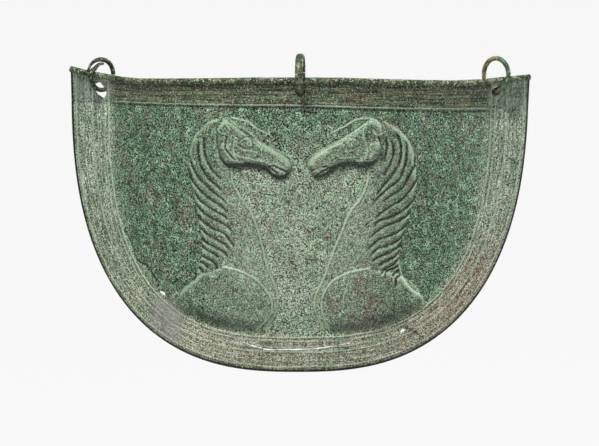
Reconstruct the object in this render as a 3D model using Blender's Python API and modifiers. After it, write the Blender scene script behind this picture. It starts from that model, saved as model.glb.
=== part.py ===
"""Bronze belly guard: one hammered sheet with a rolled rim, a ribbed border and two horse foreparts,
hung by three wire rings. Metres, +Z up. The front faces -Y, and the origin is the inner top of the
centre ring's eye, where the belt holds it."""

import math

import bmesh
import bpy
import numpy as np
from mathutils import Matrix, Vector

COLLECTION = "bronze_belly_guard"
CUTTERS = "cutters"

# The sheet
PLATE_WIDTH = 0.240
PLATE_HEIGHT = 0.150
SHEET = 0.0011
OUTLINE_POWER = 2.65
FOOT_LEAN = -0.0014
ARCH_DEPTH = 0.071
ARCH_POWER = 2.4
FOOT_TUCK = 0.010

# The border, which flares back towards the viewer from its inner line
BORDER_SIDE = 0.0204
BORDER_FOOT = 0.0175
BORDER_POWER = 3.0
FLARE_SIDE = 0.65
FLARE_FOOT = 0.30
RIB_RISE = 0.00045
RIB_HALF_WIDTH = 0.0010
EDGE_TURN = 0.0005

# The flange above the ridge line, and the bead rolled along its top
RIDGE_DROP = 0.0130
RIDGE_FALL = 0.040
RIDGE_RISE = 0.0007
RIDGE_HALF_WIDTH = 0.0011
FLANGE_REACH = 0.0042
FLANGE_CURVE = 1.3
BEAD_RADIUS = 0.00155

# The horses
HEAD_RISE = 0.0030
HEAD_ROUND = 0.0036
CHEEK_RISE = 0.0008
NECK_RISE = 0.0012
NECK_ROUND = 0.0026
SHOULDER_RISE = 0.0024
SHOULDER_ROUND = 0.0130
GROOVE_DEPTH = 0.0009
GROOVE_REACH = 0.0022
GROOVE_FADE = 0.14
LINE_RISE = 0.0005
LINE_HALF_WIDTH = 0.0009
RIGHT_HEAD_SHIFT = (0.004, -0.004)

# The rings, and the holes that they hang in
HOLE_RADIUS = 0.0028
SEAT_LIFT = 0.0004
CENTRE_WIRE_BREADTH = 1.6
LEFT_RING_START = 100.0
LEFT_RING_PARTED = 40.0
LEFT_RING_PARTING = 5.0
LEFT_RING_END = 10.0
LEFT_RING_SPREAD = 0.0021
LEFT_RING_OUTWARD = 0.0019
LEFT_RING_TAPER = 0.45
LEFT_RING_POINTS = 50
TAPER_SHARE = 0.18
TEAR_WIDTH = 0.0006

# The net that carries the sheet, and the share of its faces that is kept
FIELD_COLUMNS = 84
FIELD_ROWS = 112
BORDER_STEPS = 20
SHEET_TRIANGLES = 3900

HALF = PLATE_WIDTH / 2

# Each ring: side of the middle, place of its hole from the plate's end (the centre ring has none) and
# below the rim, turn of its plane from straight ahead, radius of its centre line, radius of its wire
RINGS = {
    "ring_left": {
        "side": -1, "from_end": 0.0165, "hole_drop": 0.0077, "turn_degrees": -45.0,
        "mean_radius": 0.0079, "wire_radius": 0.0012,
    },
    "ring_centre": {
        "side": 0, "from_end": 0.0, "hole_drop": 0.0058, "turn_degrees": -4.0,
        "mean_radius": 0.0088, "wire_radius": 0.0013,
    },
    "ring_right": {
        "side": 1, "from_end": 0.0178, "hole_drop": 0.0065, "turn_degrees": 46.0,
        "mean_radius": 0.0084, "wire_radius": 0.00125,
    },
}

# Ribs of the border: place as a share of its width from the inner line, rise as a share of RIB_RISE
RIBS = ((0.02, 1.0), (0.13, 0.7), (0.30, 0.5), (0.44, 0.8), (0.70, 0.35), (0.87, 0.6))

# Waves of the rim: place as a share of the half width, rise as a share of RIDGE_DROP
RIM_WAVES = (
    (-1.00, 0.29), (-0.93, 0.14), (-0.86, 0.03), (-0.78, -0.08), (-0.70, -0.13), (-0.50, -0.08),
    (-0.20, -0.01), (0.00, 0.00), (0.20, -0.02), (0.45, -0.12), (0.66, -0.20), (0.80, -0.19),
    (0.88, -0.13), (0.95, -0.08), (1.00, -0.04),
)

# Outlines and lines of a horse: out from the middle as shares of the half width, and down from the
# rim as shares of the plate's height
HEAD = (
    (0.356, 0.161), (0.322, 0.134), (0.288, 0.144), (0.217, 0.188), (0.149, 0.219), (0.061, 0.260),
    (0.037, 0.290), (0.050, 0.317), (0.071, 0.334), (0.113, 0.327), (0.149, 0.303), (0.224, 0.291),
    (0.292, 0.298), (0.326, 0.287), (0.346, 0.253), (0.356, 0.209),
)
CHEEK = (
    (0.343, 0.236), (0.333, 0.215), (0.300, 0.222), (0.285, 0.245), (0.262, 0.270), (0.240, 0.289),
    (0.297, 0.296), (0.326, 0.284), (0.343, 0.264),
)
FORELOCK = (
    (0.356, 0.137), (0.299, 0.127), (0.238, 0.137), (0.183, 0.161), (0.140, 0.181), (0.186, 0.183),
    (0.220, 0.171), (0.258, 0.159), (0.301, 0.146),
)
EYE = (
    (0.258, 0.216), (0.243, 0.204), (0.227, 0.200), (0.213, 0.205), (0.207, 0.216), (0.215, 0.225),
    (0.231, 0.227), (0.247, 0.223),
)
EAR = ((0.350, 0.164), (0.331, 0.154), (0.306, 0.153), (0.297, 0.168), (0.309, 0.182), (0.331, 0.183))
FACE_LINES = (
    ((0.288, 0.144), (0.251, 0.167), (0.217, 0.189), (0.149, 0.219), (0.102, 0.238), (0.053, 0.264)),
    ((0.262, 0.226), (0.241, 0.238), (0.217, 0.242), (0.186, 0.243)),
    (
        (0.288, 0.154), (0.275, 0.182), (0.285, 0.212), (0.285, 0.238), (0.279, 0.251),
        (0.258, 0.260), (0.217, 0.266), (0.156, 0.274),
    ),
    ((0.333, 0.235), (0.309, 0.257), (0.289, 0.271), (0.271, 0.274)),
)
MOUTH_LINES = (
    ((0.130, 0.291), (0.100, 0.296), (0.062, 0.310)),
    ((0.134, 0.303), (0.105, 0.310), (0.066, 0.324)),
)
# Grooves between the mane's locks, from the crest down to the tips
MANE = {
    "left": (
        ((0.473, 0.253), (0.462, 0.297), (0.428, 0.341), (0.370, 0.385), (0.334, 0.406), (0.306, 0.432)),
        ((0.431, 0.205), (0.436, 0.243), (0.423, 0.297), (0.389, 0.339), (0.353, 0.364), (0.320, 0.390)),
        ((0.405, 0.188), (0.410, 0.226), (0.401, 0.270), (0.377, 0.306), (0.349, 0.331), (0.329, 0.346)),
        ((0.480, 0.295), (0.466, 0.341), (0.428, 0.379), (0.377, 0.415), (0.339, 0.431), (0.303, 0.459)),
        ((0.463, 0.373), (0.426, 0.417), (0.374, 0.445), (0.328, 0.465), (0.303, 0.479)),
        ((0.452, 0.421), (0.410, 0.459), (0.344, 0.487), (0.309, 0.503), (0.276, 0.535)),
        ((0.444, 0.459), (0.418, 0.487), (0.366, 0.513), (0.323, 0.528), (0.290, 0.561), (0.279, 0.576)),
        ((0.437, 0.500), (0.404, 0.526), (0.355, 0.550), (0.320, 0.564), (0.291, 0.594)),
        ((0.432, 0.536), (0.404, 0.559), (0.355, 0.578), (0.320, 0.596), (0.309, 0.611)),
        ((0.429, 0.565), (0.401, 0.585), (0.369, 0.597), (0.344, 0.614)),
        ((0.428, 0.601), (0.399, 0.615), (0.369, 0.627), (0.352, 0.653)),
        ((0.431, 0.625), (0.410, 0.634), (0.385, 0.653)),
        ((0.442, 0.642), (0.426, 0.653), (0.412, 0.666)),
        ((0.453, 0.651), (0.448, 0.679), (0.461, 0.695)),
    ),
    "right": (
        (
            (0.399, 0.171), (0.422, 0.202), (0.431, 0.237), (0.426, 0.279),
            (0.397, 0.322), (0.345, 0.373), (0.321, 0.402),
        ),
        (
            (0.452, 0.205), (0.456, 0.243), (0.449, 0.291), (0.424, 0.341),
            (0.376, 0.373), (0.329, 0.406), (0.301, 0.434),
        ),
        ((0.489, 0.257), (0.490, 0.295), (0.467, 0.329), (0.436, 0.372), (0.386, 0.399), (0.335, 0.429)),
        (
            (0.503, 0.312), (0.499, 0.346), (0.471, 0.380), (0.433, 0.414),
            (0.386, 0.434), (0.335, 0.464), (0.310, 0.477),
        ),
        ((0.495, 0.387), (0.484, 0.419), (0.440, 0.449), (0.393, 0.470), (0.342, 0.482), (0.297, 0.511)),
        ((0.480, 0.442), (0.459, 0.467), (0.411, 0.490), (0.364, 0.502), (0.320, 0.525), (0.294, 0.546)),
        ((0.469, 0.479), (0.443, 0.510), (0.393, 0.533), (0.342, 0.546), (0.304, 0.569), (0.288, 0.581)),
        ((0.454, 0.512), (0.430, 0.546), (0.380, 0.569), (0.332, 0.579), (0.288, 0.614)),
        ((0.442, 0.546), (0.421, 0.576), (0.373, 0.596), (0.326, 0.612), (0.304, 0.629)),
        ((0.431, 0.580), (0.405, 0.609), (0.361, 0.626), (0.329, 0.642)),
        ((0.427, 0.611), (0.399, 0.637), (0.363, 0.651), (0.345, 0.670)),
        ((0.427, 0.637), (0.399, 0.650), (0.369, 0.659), (0.363, 0.685)),
        ((0.429, 0.654), (0.405, 0.667), (0.393, 0.675)),
        ((0.433, 0.670), (0.411, 0.685), (0.411, 0.715)),
        ((0.384, 0.199), (0.397, 0.226), (0.397, 0.260), (0.381, 0.295), (0.354, 0.331)),
        ((0.361, 0.193), (0.371, 0.223), (0.364, 0.257), (0.354, 0.279)),
    ),
}
CREST = {
    "left": (
        (0.314, 0.130), (0.364, 0.134), (0.391, 0.142), (0.425, 0.167), (0.452, 0.191), (0.469, 0.226),
        (0.478, 0.271), (0.476, 0.319), (0.465, 0.366), (0.452, 0.411), (0.437, 0.476), (0.422, 0.551),
        (0.423, 0.599), (0.439, 0.644), (0.461, 0.688), (0.501, 0.719), (0.561, 0.750),
    ),
    "right": (
        (0.274, 0.132), (0.322, 0.132), (0.365, 0.142), (0.423, 0.173), (0.459, 0.202), (0.484, 0.243),
        (0.497, 0.298), (0.501, 0.353), (0.489, 0.410), (0.471, 0.472), (0.446, 0.531), (0.426, 0.587),
        (0.430, 0.640), (0.450, 0.688), (0.484, 0.723), (0.531, 0.750),
    ),
}
CHEST = {
    "left": (
        (0.292, 0.301), (0.292, 0.329), (0.284, 0.356), (0.262, 0.390), (0.233, 0.425), (0.211, 0.449),
        (0.186, 0.497), (0.166, 0.555), (0.151, 0.606), (0.134, 0.654), (0.113, 0.692), (0.098, 0.733),
        (0.096, 0.774), (0.113, 0.815), (0.156, 0.856),
    ),
    "right": (
        (0.290, 0.305), (0.286, 0.349), (0.259, 0.403), (0.211, 0.452), (0.177, 0.518), (0.144, 0.580),
        (0.103, 0.672), (0.067, 0.731), (0.062, 0.784), (0.103, 0.859),
    ),
}
SHOULDER = {
    "left": (
        (0.331, 0.641), (0.271, 0.651), (0.228, 0.664), (0.183, 0.685), (0.151, 0.714), (0.128, 0.743),
        (0.119, 0.777), (0.134, 0.815), (0.190, 0.862),
    ),
    "right": (
        (0.295, 0.646), (0.209, 0.659), (0.144, 0.685), (0.108, 0.718), (0.091, 0.761), (0.099, 0.810),
        (0.128, 0.866),
    ),
}
FLANK_END = ((0.400, 0.880), (0.560, 0.800), (0.500, 0.715), (0.425, 0.668))
HORSE_FOOT = ((0.300, 0.920), (0.560, 0.860))

# Damage, as outlines: across from the middle as shares of the half width (left is minus), and down
# from the rim as shares of the plate's height
TORN_RING_HOLE = (
    (-0.894, 0.030), (-0.871, 0.022), (-0.855, 0.035), (-0.840, 0.061), (-0.855, 0.080),
    (-0.871, 0.073), (-0.888, 0.063), (-0.902, 0.047),
)
LOWER_HOLE = ((-0.612, 0.733), (-0.586, 0.740), (-0.582, 0.754), (-0.595, 0.753), (-0.609, 0.743))
CHIP = ((0.424, 0.874), (0.442, 0.857), (0.459, 0.866), (0.444, 0.875))
FOOT_TEAR = (
    (-0.250, 0.897), (-0.228, 0.908), (-0.169, 0.921), (-0.126, 0.926), (0.002, 0.925), (0.087, 0.921),
    (0.194, 0.908), (0.224, 0.904),
)


def smooth_step(value):
    """Ease a value between 0 and 1."""
    t = np.clip(value, 0.0, 1.0)
    return t * t * (3.0 - 2.0 * t)


def smooth_path(points, steps=6, closed=False):
    """Points of a smooth curve through the given ones."""
    knots = [np.array(p, dtype=float) for p in points]
    if closed:
        knots = [knots[-1]] + knots + knots[:2]
    else:
        knots = [2 * knots[0] - knots[1]] + knots + [2 * knots[-1] - knots[-2]]
    path = []
    for before, start, end, after in zip(knots, knots[1:], knots[2:], knots[3:]):
        for step in range(steps):
            t = step / steps
            path.append(0.5 * (
                2 * start + (end - before) * t + (2 * before - 5 * start + 4 * end - after) * t**2
                + (3 * start - before - 3 * end + after) * t**3
            ))
    if not closed:
        path.append(knots[-2])
    return np.array(path)


def in_metres(points):
    """Shares of the half width and of the height, as metres."""
    return [(across * HALF, down * PLATE_HEIGHT) for across, down in points]


def path_distance(across, down, path):
    """Distance from each spot to a path, and the share of the path where it is nearest."""
    nearest = np.full(across.shape, np.inf)
    share = np.zeros(across.shape)
    count = len(path) - 1
    for index in range(count):
        (x0, z0), (x1, z1) = path[index], path[index + 1]
        run = max((x1 - x0) ** 2 + (z1 - z0) ** 2, 1e-14)
        t = np.clip(((across - x0) * (x1 - x0) + (down - z0) * (z1 - z0)) / run, 0.0, 1.0)
        gap = np.hypot(across - x0 - t * (x1 - x0), down - z0 - t * (z1 - z0))
        closer = gap < nearest
        nearest = np.where(closer, gap, nearest)
        share = np.where(closer, (index + t) / count, share)
    return nearest, share


def inside_depth(across, down, outline):
    """How deep each spot lies inside a closed outline; outside it is negative."""
    closed = np.vstack([outline, outline[:1]])
    gap, _ = path_distance(across, down, closed)
    inside = np.zeros(across.shape, dtype=bool)
    for (x0, z0), (x1, z1) in zip(closed[:-1], closed[1:]):
        if z0 == z1:
            continue
        crosses = (z0 > down) != (z1 > down)
        inside ^= crosses & (across < (x1 - x0) * (down - z0) / (z1 - z0) + x0)
    return np.where(inside, gap, -gap)


def raised(depth, rise, rounding):
    """Height of a form with a rounded edge, from the depth inside its outline."""
    t = np.clip(depth / rounding, 0.0, 1.0)
    return rise * np.sqrt(1.0 - (1.0 - t) ** 2)


def ridge(distance, rise, half_width):
    """Height of a rounded ridge, or of a groove if the rise is negative."""
    t = np.clip(distance / half_width, 0.0, 1.0)
    return rise * 0.5 * (1.0 + np.cos(math.pi * t))


def outline_reach(cosine, sine, half, height, power):
    """Distance from the middle of the rim to a half oval, at a bearing."""
    return ((cosine / half) ** power + (sine / height) ** power) ** (-1.0 / power)


def middle_at(drop):
    """Where the plate's middle lies across: its foot leans a little to the left."""
    return FOOT_LEAN * drop / PLATE_HEIGHT


def border_at(x, drop):
    """Reach of a spot from the middle of the rim, and of the border's inner and outer lines."""
    from_middle = np.abs(x - middle_at(drop))
    reach = np.maximum(np.hypot(from_middle, drop), 1e-6)
    bearing = np.arctan2(np.maximum(drop, 0.0), from_middle)
    cosine = np.cos(bearing)
    sine = np.sin(bearing)
    inner = outline_reach(cosine, sine, HALF - BORDER_SIDE, PLATE_HEIGHT - BORDER_FOOT, BORDER_POWER)
    outer = outline_reach(cosine, sine, HALF, PLATE_HEIGHT, OUTLINE_POWER)
    return reach, inner, outer, cosine


def ridge_drop(x):
    """How far the ridge line runs below the rim: it falls away to the right."""
    return RIDGE_DROP + RIDGE_FALL * np.maximum(x, 0.0)


def flange_share(x, drop):
    """0 on the ridge line and below it, 1 on the rim."""
    return np.clip(1.0 - drop / ridge_drop(x), 0.0, 1.0)


def bare_depth(x, drop):
    """How far the sheet's front lies behind the middle of the field, with no relief."""
    reach, inner, _, cosine = border_at(x, drop)
    beyond = np.maximum(reach - inner, 0.0)
    pull = np.minimum(inner / reach, 1.0)
    foot_x, foot_drop = np.abs(x - middle_at(drop)) * pull, drop * pull
    arch = ARCH_DEPTH * (foot_x / HALF) ** ARCH_POWER
    tuck = FOOT_TUCK * (foot_drop / PLATE_HEIGHT) ** 2
    foot_reach = np.minimum(reach, inner)
    slope = (ARCH_POWER * arch + 2.0 * tuck) / foot_reach
    flare = FLARE_FOOT + (FLARE_SIDE - FLARE_FOOT) * cosine**2
    arch_slope = ARCH_POWER * arch / np.maximum(foot_x, 1e-6)
    lean = FLANGE_REACH * flange_share(x, drop) ** FLANGE_CURVE * np.sqrt(1.0 + arch_slope**2)
    return arch + tuck + beyond * (slope - flare) - lean


def border_relief(x, drop):
    """Ribs of the border and its turned edge, the ridge line, and how far a spot is in the field."""
    reach, inner, outer, _ = border_at(x, drop)
    width = outer - inner
    height = np.zeros(x.shape)
    for place, rise in RIBS:
        height += ridge(np.abs(reach - inner - place * width), RIB_RISE * rise, RIB_HALF_WIDTH)
    height -= EDGE_TURN * smooth_step(1.0 - (outer - reach) / (2.0 * SHEET))
    in_field = smooth_step((inner - reach) / NECK_ROUND)
    height += in_field * ridge(np.abs(drop - ridge_drop(x)), RIDGE_RISE, RIDGE_HALF_WIDTH)
    return height, in_field


def mane_grooves(side, across, down):
    """Depth of the grooves between a mane's locks, which fade out at their ends."""
    depth = np.zeros(across.shape)
    for line in MANE[side]:
        gap, share = path_distance(across, down, smooth_path(in_metres(line)))
        cut = GROOVE_DEPTH - raised(gap, GROOVE_DEPTH, GROOVE_REACH)
        depth = np.maximum(depth, cut * smooth_step(np.minimum(share, 1.0 - share) / GROOVE_FADE))
    return depth


def head_relief(across, down):
    """Height of a horse's head and forelock over the field."""
    height = raised(inside_depth(across, down, smooth_path(in_metres(HEAD), closed=True)),
                    HEAD_RISE, HEAD_ROUND)
    on_head = smooth_step(height / HEAD_RISE)
    cheek = inside_depth(across, down, smooth_path(in_metres(CHEEK), closed=True))
    height += raised(cheek, CHEEK_RISE, HEAD_ROUND)
    eye = smooth_path(in_metres(EYE), closed=True)
    eye_depth = inside_depth(across, down, eye)
    height += ridge(np.abs(eye_depth), LINE_RISE, LINE_HALF_WIDTH)
    height += raised(eye_depth, LINE_RISE * 0.6, LINE_HALF_WIDTH * 2)
    for line in FACE_LINES:
        gap, _ = path_distance(across, down, smooth_path(in_metres(line)))
        height += on_head * ridge(gap, LINE_RISE, LINE_HALF_WIDTH)
    for line in MOUTH_LINES:
        gap, _ = path_distance(across, down, smooth_path(in_metres(line)))
        height -= ridge(gap, 2.0 * LINE_RISE, LINE_HALF_WIDTH)
    forelock = inside_depth(across, down, smooth_path(in_metres(FORELOCK), closed=True))
    return np.maximum(height, raised(forelock, NECK_RISE, NECK_ROUND))


def horse_relief(side, across, down):
    """Height of one horse over the field, seen with its nose towards the middle."""
    crest = smooth_path(in_metres(CREST[side]))
    chest = smooth_path(in_metres(CHEST[side]))
    shoulder = smooth_path(in_metres(SHOULDER[side]))
    neck = np.vstack([crest, in_metres(HORSE_FOOT)[::-1], chest[::-1]])
    height = raised(inside_depth(across, down, neck), NECK_RISE, NECK_ROUND)
    height -= mane_grooves(side, across, down)
    flank = np.vstack([shoulder, in_metres(FLANK_END)])
    height += raised(inside_depth(across, down, flank), SHOULDER_RISE, SHOULDER_ROUND)
    for line in (chest, shoulder):
        gap, _ = path_distance(across, down, line)
        height += ridge(gap, LINE_RISE, LINE_HALF_WIDTH)
    shift = RIGHT_HEAD_SHIFT if side == "right" else (0.0, 0.0)
    head = head_relief(across + shift[0] * HALF, down - shift[1] * PLATE_HEIGHT)
    ear = smooth_path(in_metres(EAR), closed=True)
    ear_depth = inside_depth(across, down, ear)
    height = np.maximum(height, head)
    height += ridge(np.abs(ear_depth), LINE_RISE, LINE_HALF_WIDTH)
    height -= raised(ear_depth - LINE_HALF_WIDTH, LINE_RISE, 2 * LINE_HALF_WIDTH)
    return height


def relief(x, drop):
    """Height of all that stands out of the sheet's front."""
    height, in_field = border_relief(x, drop)
    for side, sign in (("left", -1.0), ("right", 1.0)):
        here = sign * x > 0.0
        forms = np.zeros(x.shape)
        forms[here] = horse_relief(side, sign * x[here], drop[here])
        height += forms * in_field
    return height


def rim_wave(x):
    """Rise of the rim over its middle, along the waved top edge."""
    places = [place * HALF for place, _ in RIM_WAVES]
    rises = [rise * RIDGE_DROP for _, rise in RIM_WAVES]
    return np.interp(x, places, rises)


def frame_offset():
    """Where the middle of the rim lies, in y and z, so that the origin is in the centre ring's eye."""
    centre = RINGS["ring_centre"]
    drop = centre["hole_drop"]
    seat_depth = float(bare_depth(np.array([0.0]), np.array([drop]))[0]) + SHEET / 2
    eye_top = 2 * centre["mean_radius"] - centre["wire_radius"]
    return -seat_depth, -eye_top - SEAT_LIFT + drop


def front_points(x, drop, with_relief=True):
    """World places of the sheet's front for front-view spots."""
    offset_y, offset_z = frame_offset()
    depth = bare_depth(x, drop)
    if with_relief:
        depth = depth - relief(x, drop)
    z = offset_z - drop + rim_wave(x) * flange_share(x, drop)
    return np.stack([x, np.round(depth + offset_y, 7), np.round(z, 7)], axis=-1)


def front_point(x, drop):
    """One place on the sheet's front, without relief."""
    return Vector(front_points(np.array([x]), np.array([drop]), with_relief=False)[0])


def net_spots():
    """Front-view spots of the net: rows from the rim to the foot, whose last lines follow the edge."""
    steps = np.arange(1, BORDER_STEPS + 1) / BORDER_STEPS
    side = np.concatenate([np.arange(FIELD_COLUMNS + 1) / FIELD_COLUMNS, 1.0 + steps])
    rows = np.concatenate([np.arange(FIELD_ROWS + 1) / FIELD_ROWS, 1.0 + steps])
    u, v = np.meshgrid(np.concatenate([-side[:0:-1], side]), rows)
    level = np.maximum(np.abs(u), v)
    flat_x = u * (HALF - BORDER_SIDE)
    flat_drop = v * (PLATE_HEIGHT - BORDER_FOOT)
    reach, inner, outer, _ = border_at(flat_x + middle_at(flat_drop), flat_drop)
    target = np.where(level <= 1.0, level * inner, inner + (level - 1.0) * (outer - inner))
    weight = smooth_step(level)
    scale = np.where(level > 0.0, 1.0 - weight + weight * target / reach, 1.0)
    drop = flat_drop * scale
    return flat_x * scale + middle_at(drop), drop


def bronze(name, colour, roughness):
    """A bronze with its green patina."""
    material = bpy.data.materials.new(name)
    material.use_nodes = True
    shader = material.node_tree.nodes["Principled BSDF"]
    shader.inputs["Base Color"].default_value = (*colour, 1.0)
    shader.inputs["Roughness"].default_value = roughness
    shader.inputs["Metallic"].default_value = 0.25
    return material


def add_object(name, mesh, collection):
    """Link a mesh to a collection as a named object."""
    piece = bpy.data.objects.new(name, mesh)
    bpy.data.collections[collection].objects.link(piece)
    return piece


def curve_mesh(curve):
    """The closed mesh of a curve object, whose caps are welded; the curve is removed."""
    bpy.context.view_layer.update()
    mesh = bpy.data.meshes.new_from_object(curve.evaluated_get(bpy.context.evaluated_depsgraph_get()))
    mesh.transform(curve.matrix_world)
    bpy.data.objects.remove(curve)
    weld = bmesh.new()
    weld.from_mesh(mesh)
    bmesh.ops.remove_doubles(weld, verts=weld.verts, dist=1e-6)
    bmesh.ops.recalc_face_normals(weld, faces=weld.faces)
    weld.to_mesh(mesh)
    weld.free()
    return mesh


def wire_mesh(name, points, radius, shares=None):
    """The mesh of a round wire along points; shares thin it at its ends."""
    data = bpy.data.curves.new(name, "CURVE")
    data.dimensions = "3D"
    data.bevel_depth = radius
    data.bevel_resolution = 2
    data.use_fill_caps = True
    spline = data.splines.new("POLY")
    spline.points.add(len(points) - 1)
    for index, place in enumerate(points):
        spline.points[index].co = (*place, 1.0)
        spline.points[index].radius = shares[index] if shares else 1.0
    curve = bpy.data.objects.new(name, data)
    bpy.data.collections[COLLECTION].objects.link(curve)
    return curve_mesh(curve)


def outline_cutter(name, outline):
    """A cutter that goes through the sheet from front to back over a front-view outline."""
    data = bpy.data.curves.new(name, "CURVE")
    data.dimensions = "2D"
    data.fill_mode = "BOTH"
    data.extrude = ARCH_DEPTH
    spline = data.splines.new("POLY")
    spline.points.add(len(outline) - 1)
    _, offset_z = frame_offset()
    for index, (x, drop) in enumerate(outline):
        spline.points[index].co = (x, offset_z - drop, 0.0, 1.0)
    spline.use_cyclic_u = True
    curve = bpy.data.objects.new(name, data)
    curve.matrix_world = Matrix.Rotation(math.pi / 2, 4, "X")
    bpy.data.collections[CUTTERS].objects.link(curve)
    return add_object(name, curve_mesh(curve), CUTTERS)


def tear_outline(path, width):
    """The outline of a tear along a path, pointed at both ends."""
    line = smooth_path(in_metres(path), steps=2)
    upper, lower = [], []
    for index, spot in enumerate(line):
        share = index / (len(line) - 1)
        half = 0.5 * width * max(math.sin(math.pi * share), 0.2) ** 0.5
        ahead = line[min(index + 1, len(line) - 1)] - line[max(index - 1, 0)]
        ahead = ahead / np.linalg.norm(ahead)
        across = np.array((-ahead[1], ahead[0]))
        upper.append(spot - across * half)
        lower.append(spot + across * half)
    return upper + lower[::-1]


def sheet_normal(x, drop):
    """Direction that the sheet's front faces."""
    step = 0.0005
    along = front_point(x + step, drop) - front_point(x - step, drop)
    down = front_point(x, drop + step) - front_point(x, drop - step)
    return along.cross(down).normalized() * -1.0


def ring_hole(name):
    """The middle of a ring's hole, half a sheet behind its front, and the sheet's normal there."""
    size = RINGS[name]
    across = size["side"] * (HALF - size["from_end"])
    front = front_point(across, size["hole_drop"])
    return front + Vector((0.0, SHEET / 2, 0.0)), sheet_normal(across, size["hole_drop"])


def modifier(piece, name, kind, **settings):
    """Add a modifier with its settings."""
    step = piece.modifiers.new(name, kind)
    for key, value in settings.items():
        setattr(step, key, value)
    return step


def bead_mesh():
    """The bead rolled along the rim."""
    x = np.linspace(-HALF, HALF, 45)
    spots = front_points(x, np.zeros(x.shape), with_relief=False)
    spots[:, 1] += SHEET / 2
    return wire_mesh("rim_bead", [tuple(spot) for spot in spots], BEAD_RADIUS)


def hole_cutter(name):
    """A drill through the flange for a ring, square to the sheet."""
    hole, normal = ring_hole(name)
    drill = bmesh.new()
    bmesh.ops.create_cone(
        drill, cap_ends=True, segments=16, radius1=HOLE_RADIUS, radius2=HOLE_RADIUS, depth=8 * SHEET,
        matrix=Matrix.Translation(hole) @ normal.to_track_quat("Z", "Y").to_matrix().to_4x4(),
    )
    mesh = bpy.data.meshes.new(f"{name}_hole")
    drill.to_mesh(mesh)
    drill.free()
    return add_object(f"{name}_hole", mesh, CUTTERS)


def belly_plate():
    """The sheet: a net in its relief, thinned to few faces, given its wall, rimmed and pierced."""
    x, drop = net_spots()
    rows, columns = x.shape
    places = front_points(x.ravel(), drop.ravel())
    faces = []
    for row in range(rows - 1):
        for column in range(columns - 1):
            first = row * columns + column
            faces.append((first, first + columns, first + columns + 1, first + 1))
    mesh = bpy.data.meshes.new("belly_plate")
    mesh.from_pydata([tuple(place) for place in places], [], faces)
    mesh.materials.append(bronze("plate_bronze", (0.16, 0.21, 0.13), 0.62))
    plate = add_object("belly_plate", mesh, COLLECTION)
    modifier(plate, "few_faces", "DECIMATE", ratio=SHEET_TRIANGLES / (2 * len(faces)))
    modifier(plate, "wall", "SOLIDIFY", thickness=SHEET, offset=-1.0, use_even_offset=False)

    bead = add_object("rim_bead", bead_mesh(), CUTTERS)
    modifier(plate, "rim", "BOOLEAN", object=bead, operation="UNION", solver="EXACT")
    cutters = [
        *(hole_cutter(name) for name in RINGS),
        outline_cutter("torn_ring_hole", in_metres(TORN_RING_HOLE)),
        outline_cutter("lower_hole", in_metres(LOWER_HOLE)),
        outline_cutter("chip", in_metres(CHIP)),
        outline_cutter("foot_tear", tear_outline(FOOT_TEAR, TEAR_WIDTH)),
    ]
    for cutter in cutters:
        modifier(plate, cutter.name, "BOOLEAN", object=cutter, operation="DIFFERENCE", solver="EXACT")
    for cutter in [bead, *cutters]:
        cutter.hide_render = True
        cutter.display_type = "WIRE"
    return plate


def place_ring(name, mesh, colour):
    """Hang a ring in its hole: its mesh lies in its own XY plane with the wire at the origin."""
    hole, _ = ring_hole(name)
    turn = math.radians(RINGS[name]["turn_degrees"])
    outward = Vector((math.sin(turn), -math.cos(turn), 0.0))
    up = Vector((0.0, 0.0, 1.0))
    ring = add_object(name, mesh, COLLECTION)
    ring.matrix_world = Matrix.Translation(hole + up * SEAT_LIFT) @ Matrix(
        (outward, up, outward.cross(up))
    ).transposed().to_4x4()
    mesh.materials.append(bronze(f"{name}_bronze", colour, 0.55))
    mesh.shade_smooth()
    return ring


def whole_ring(name, colour, breadth=1.0):
    """A closed ring of wire, whose breadth along the ring's axis is a share of its thickness."""
    size = RINGS[name]
    bpy.ops.mesh.primitive_torus_add(
        major_radius=size["mean_radius"], minor_radius=size["wire_radius"],
        major_segments=32, minor_segments=8,
    )
    torus = bpy.context.object
    mesh = torus.data
    bpy.data.objects.remove(torus)
    mesh.transform(Matrix.Translation((0.0, size["mean_radius"], 0.0)) @ Matrix.Diagonal((1.0, 1.0, breadth, 1.0)))
    return place_ring(name, mesh, colour)


def overlapped_ring(name, colour):
    """A ring bent from one wire: it starts inside its own top and ends outside its upper front."""
    size = RINGS[name]
    radius = size["mean_radius"]
    points, shares = [], []
    for index in range(LEFT_RING_POINTS):
        share = index / (LEFT_RING_POINTS - 1)
        turned = LEFT_RING_START - share * (360.0 + LEFT_RING_START - LEFT_RING_END)
        parted = smooth_step((turned - LEFT_RING_PARTING) / (LEFT_RING_PARTED - LEFT_RING_PARTING))
        outward = smooth_step((LEFT_RING_START - 360.0 - turned) / (LEFT_RING_START - LEFT_RING_END))
        reach = radius - LEFT_RING_SPREAD * float(parted) + LEFT_RING_OUTWARD * float(outward)
        angle = math.radians(turned)
        points.append((reach * math.cos(angle), radius + reach * math.sin(angle), 0.0))
        end_share = min(share, 1.0 - share) / TAPER_SHARE
        shares.append(1.0 - LEFT_RING_TAPER * float(smooth_step(1.0 - end_share)))
    mesh = wire_mesh(name, points, size["wire_radius"], shares)
    return place_ring(name, mesh, colour)


def main():
    """Clear the scene and build the belly guard."""
    for old in list(bpy.data.objects):
        bpy.data.objects.remove(old)
    for name in (COLLECTION, CUTTERS):
        if name not in bpy.data.collections:
            bpy.context.scene.collection.children.link(bpy.data.collections.new(name))
    belly_plate()
    overlapped_ring("ring_left", (0.045, 0.060, 0.040))
    whole_ring("ring_centre", (0.12, 0.17, 0.10), CENTRE_WIRE_BREADTH)
    whole_ring("ring_right", (0.30, 0.24, 0.12))
    bpy.context.view_layer.update()


main()
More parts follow.
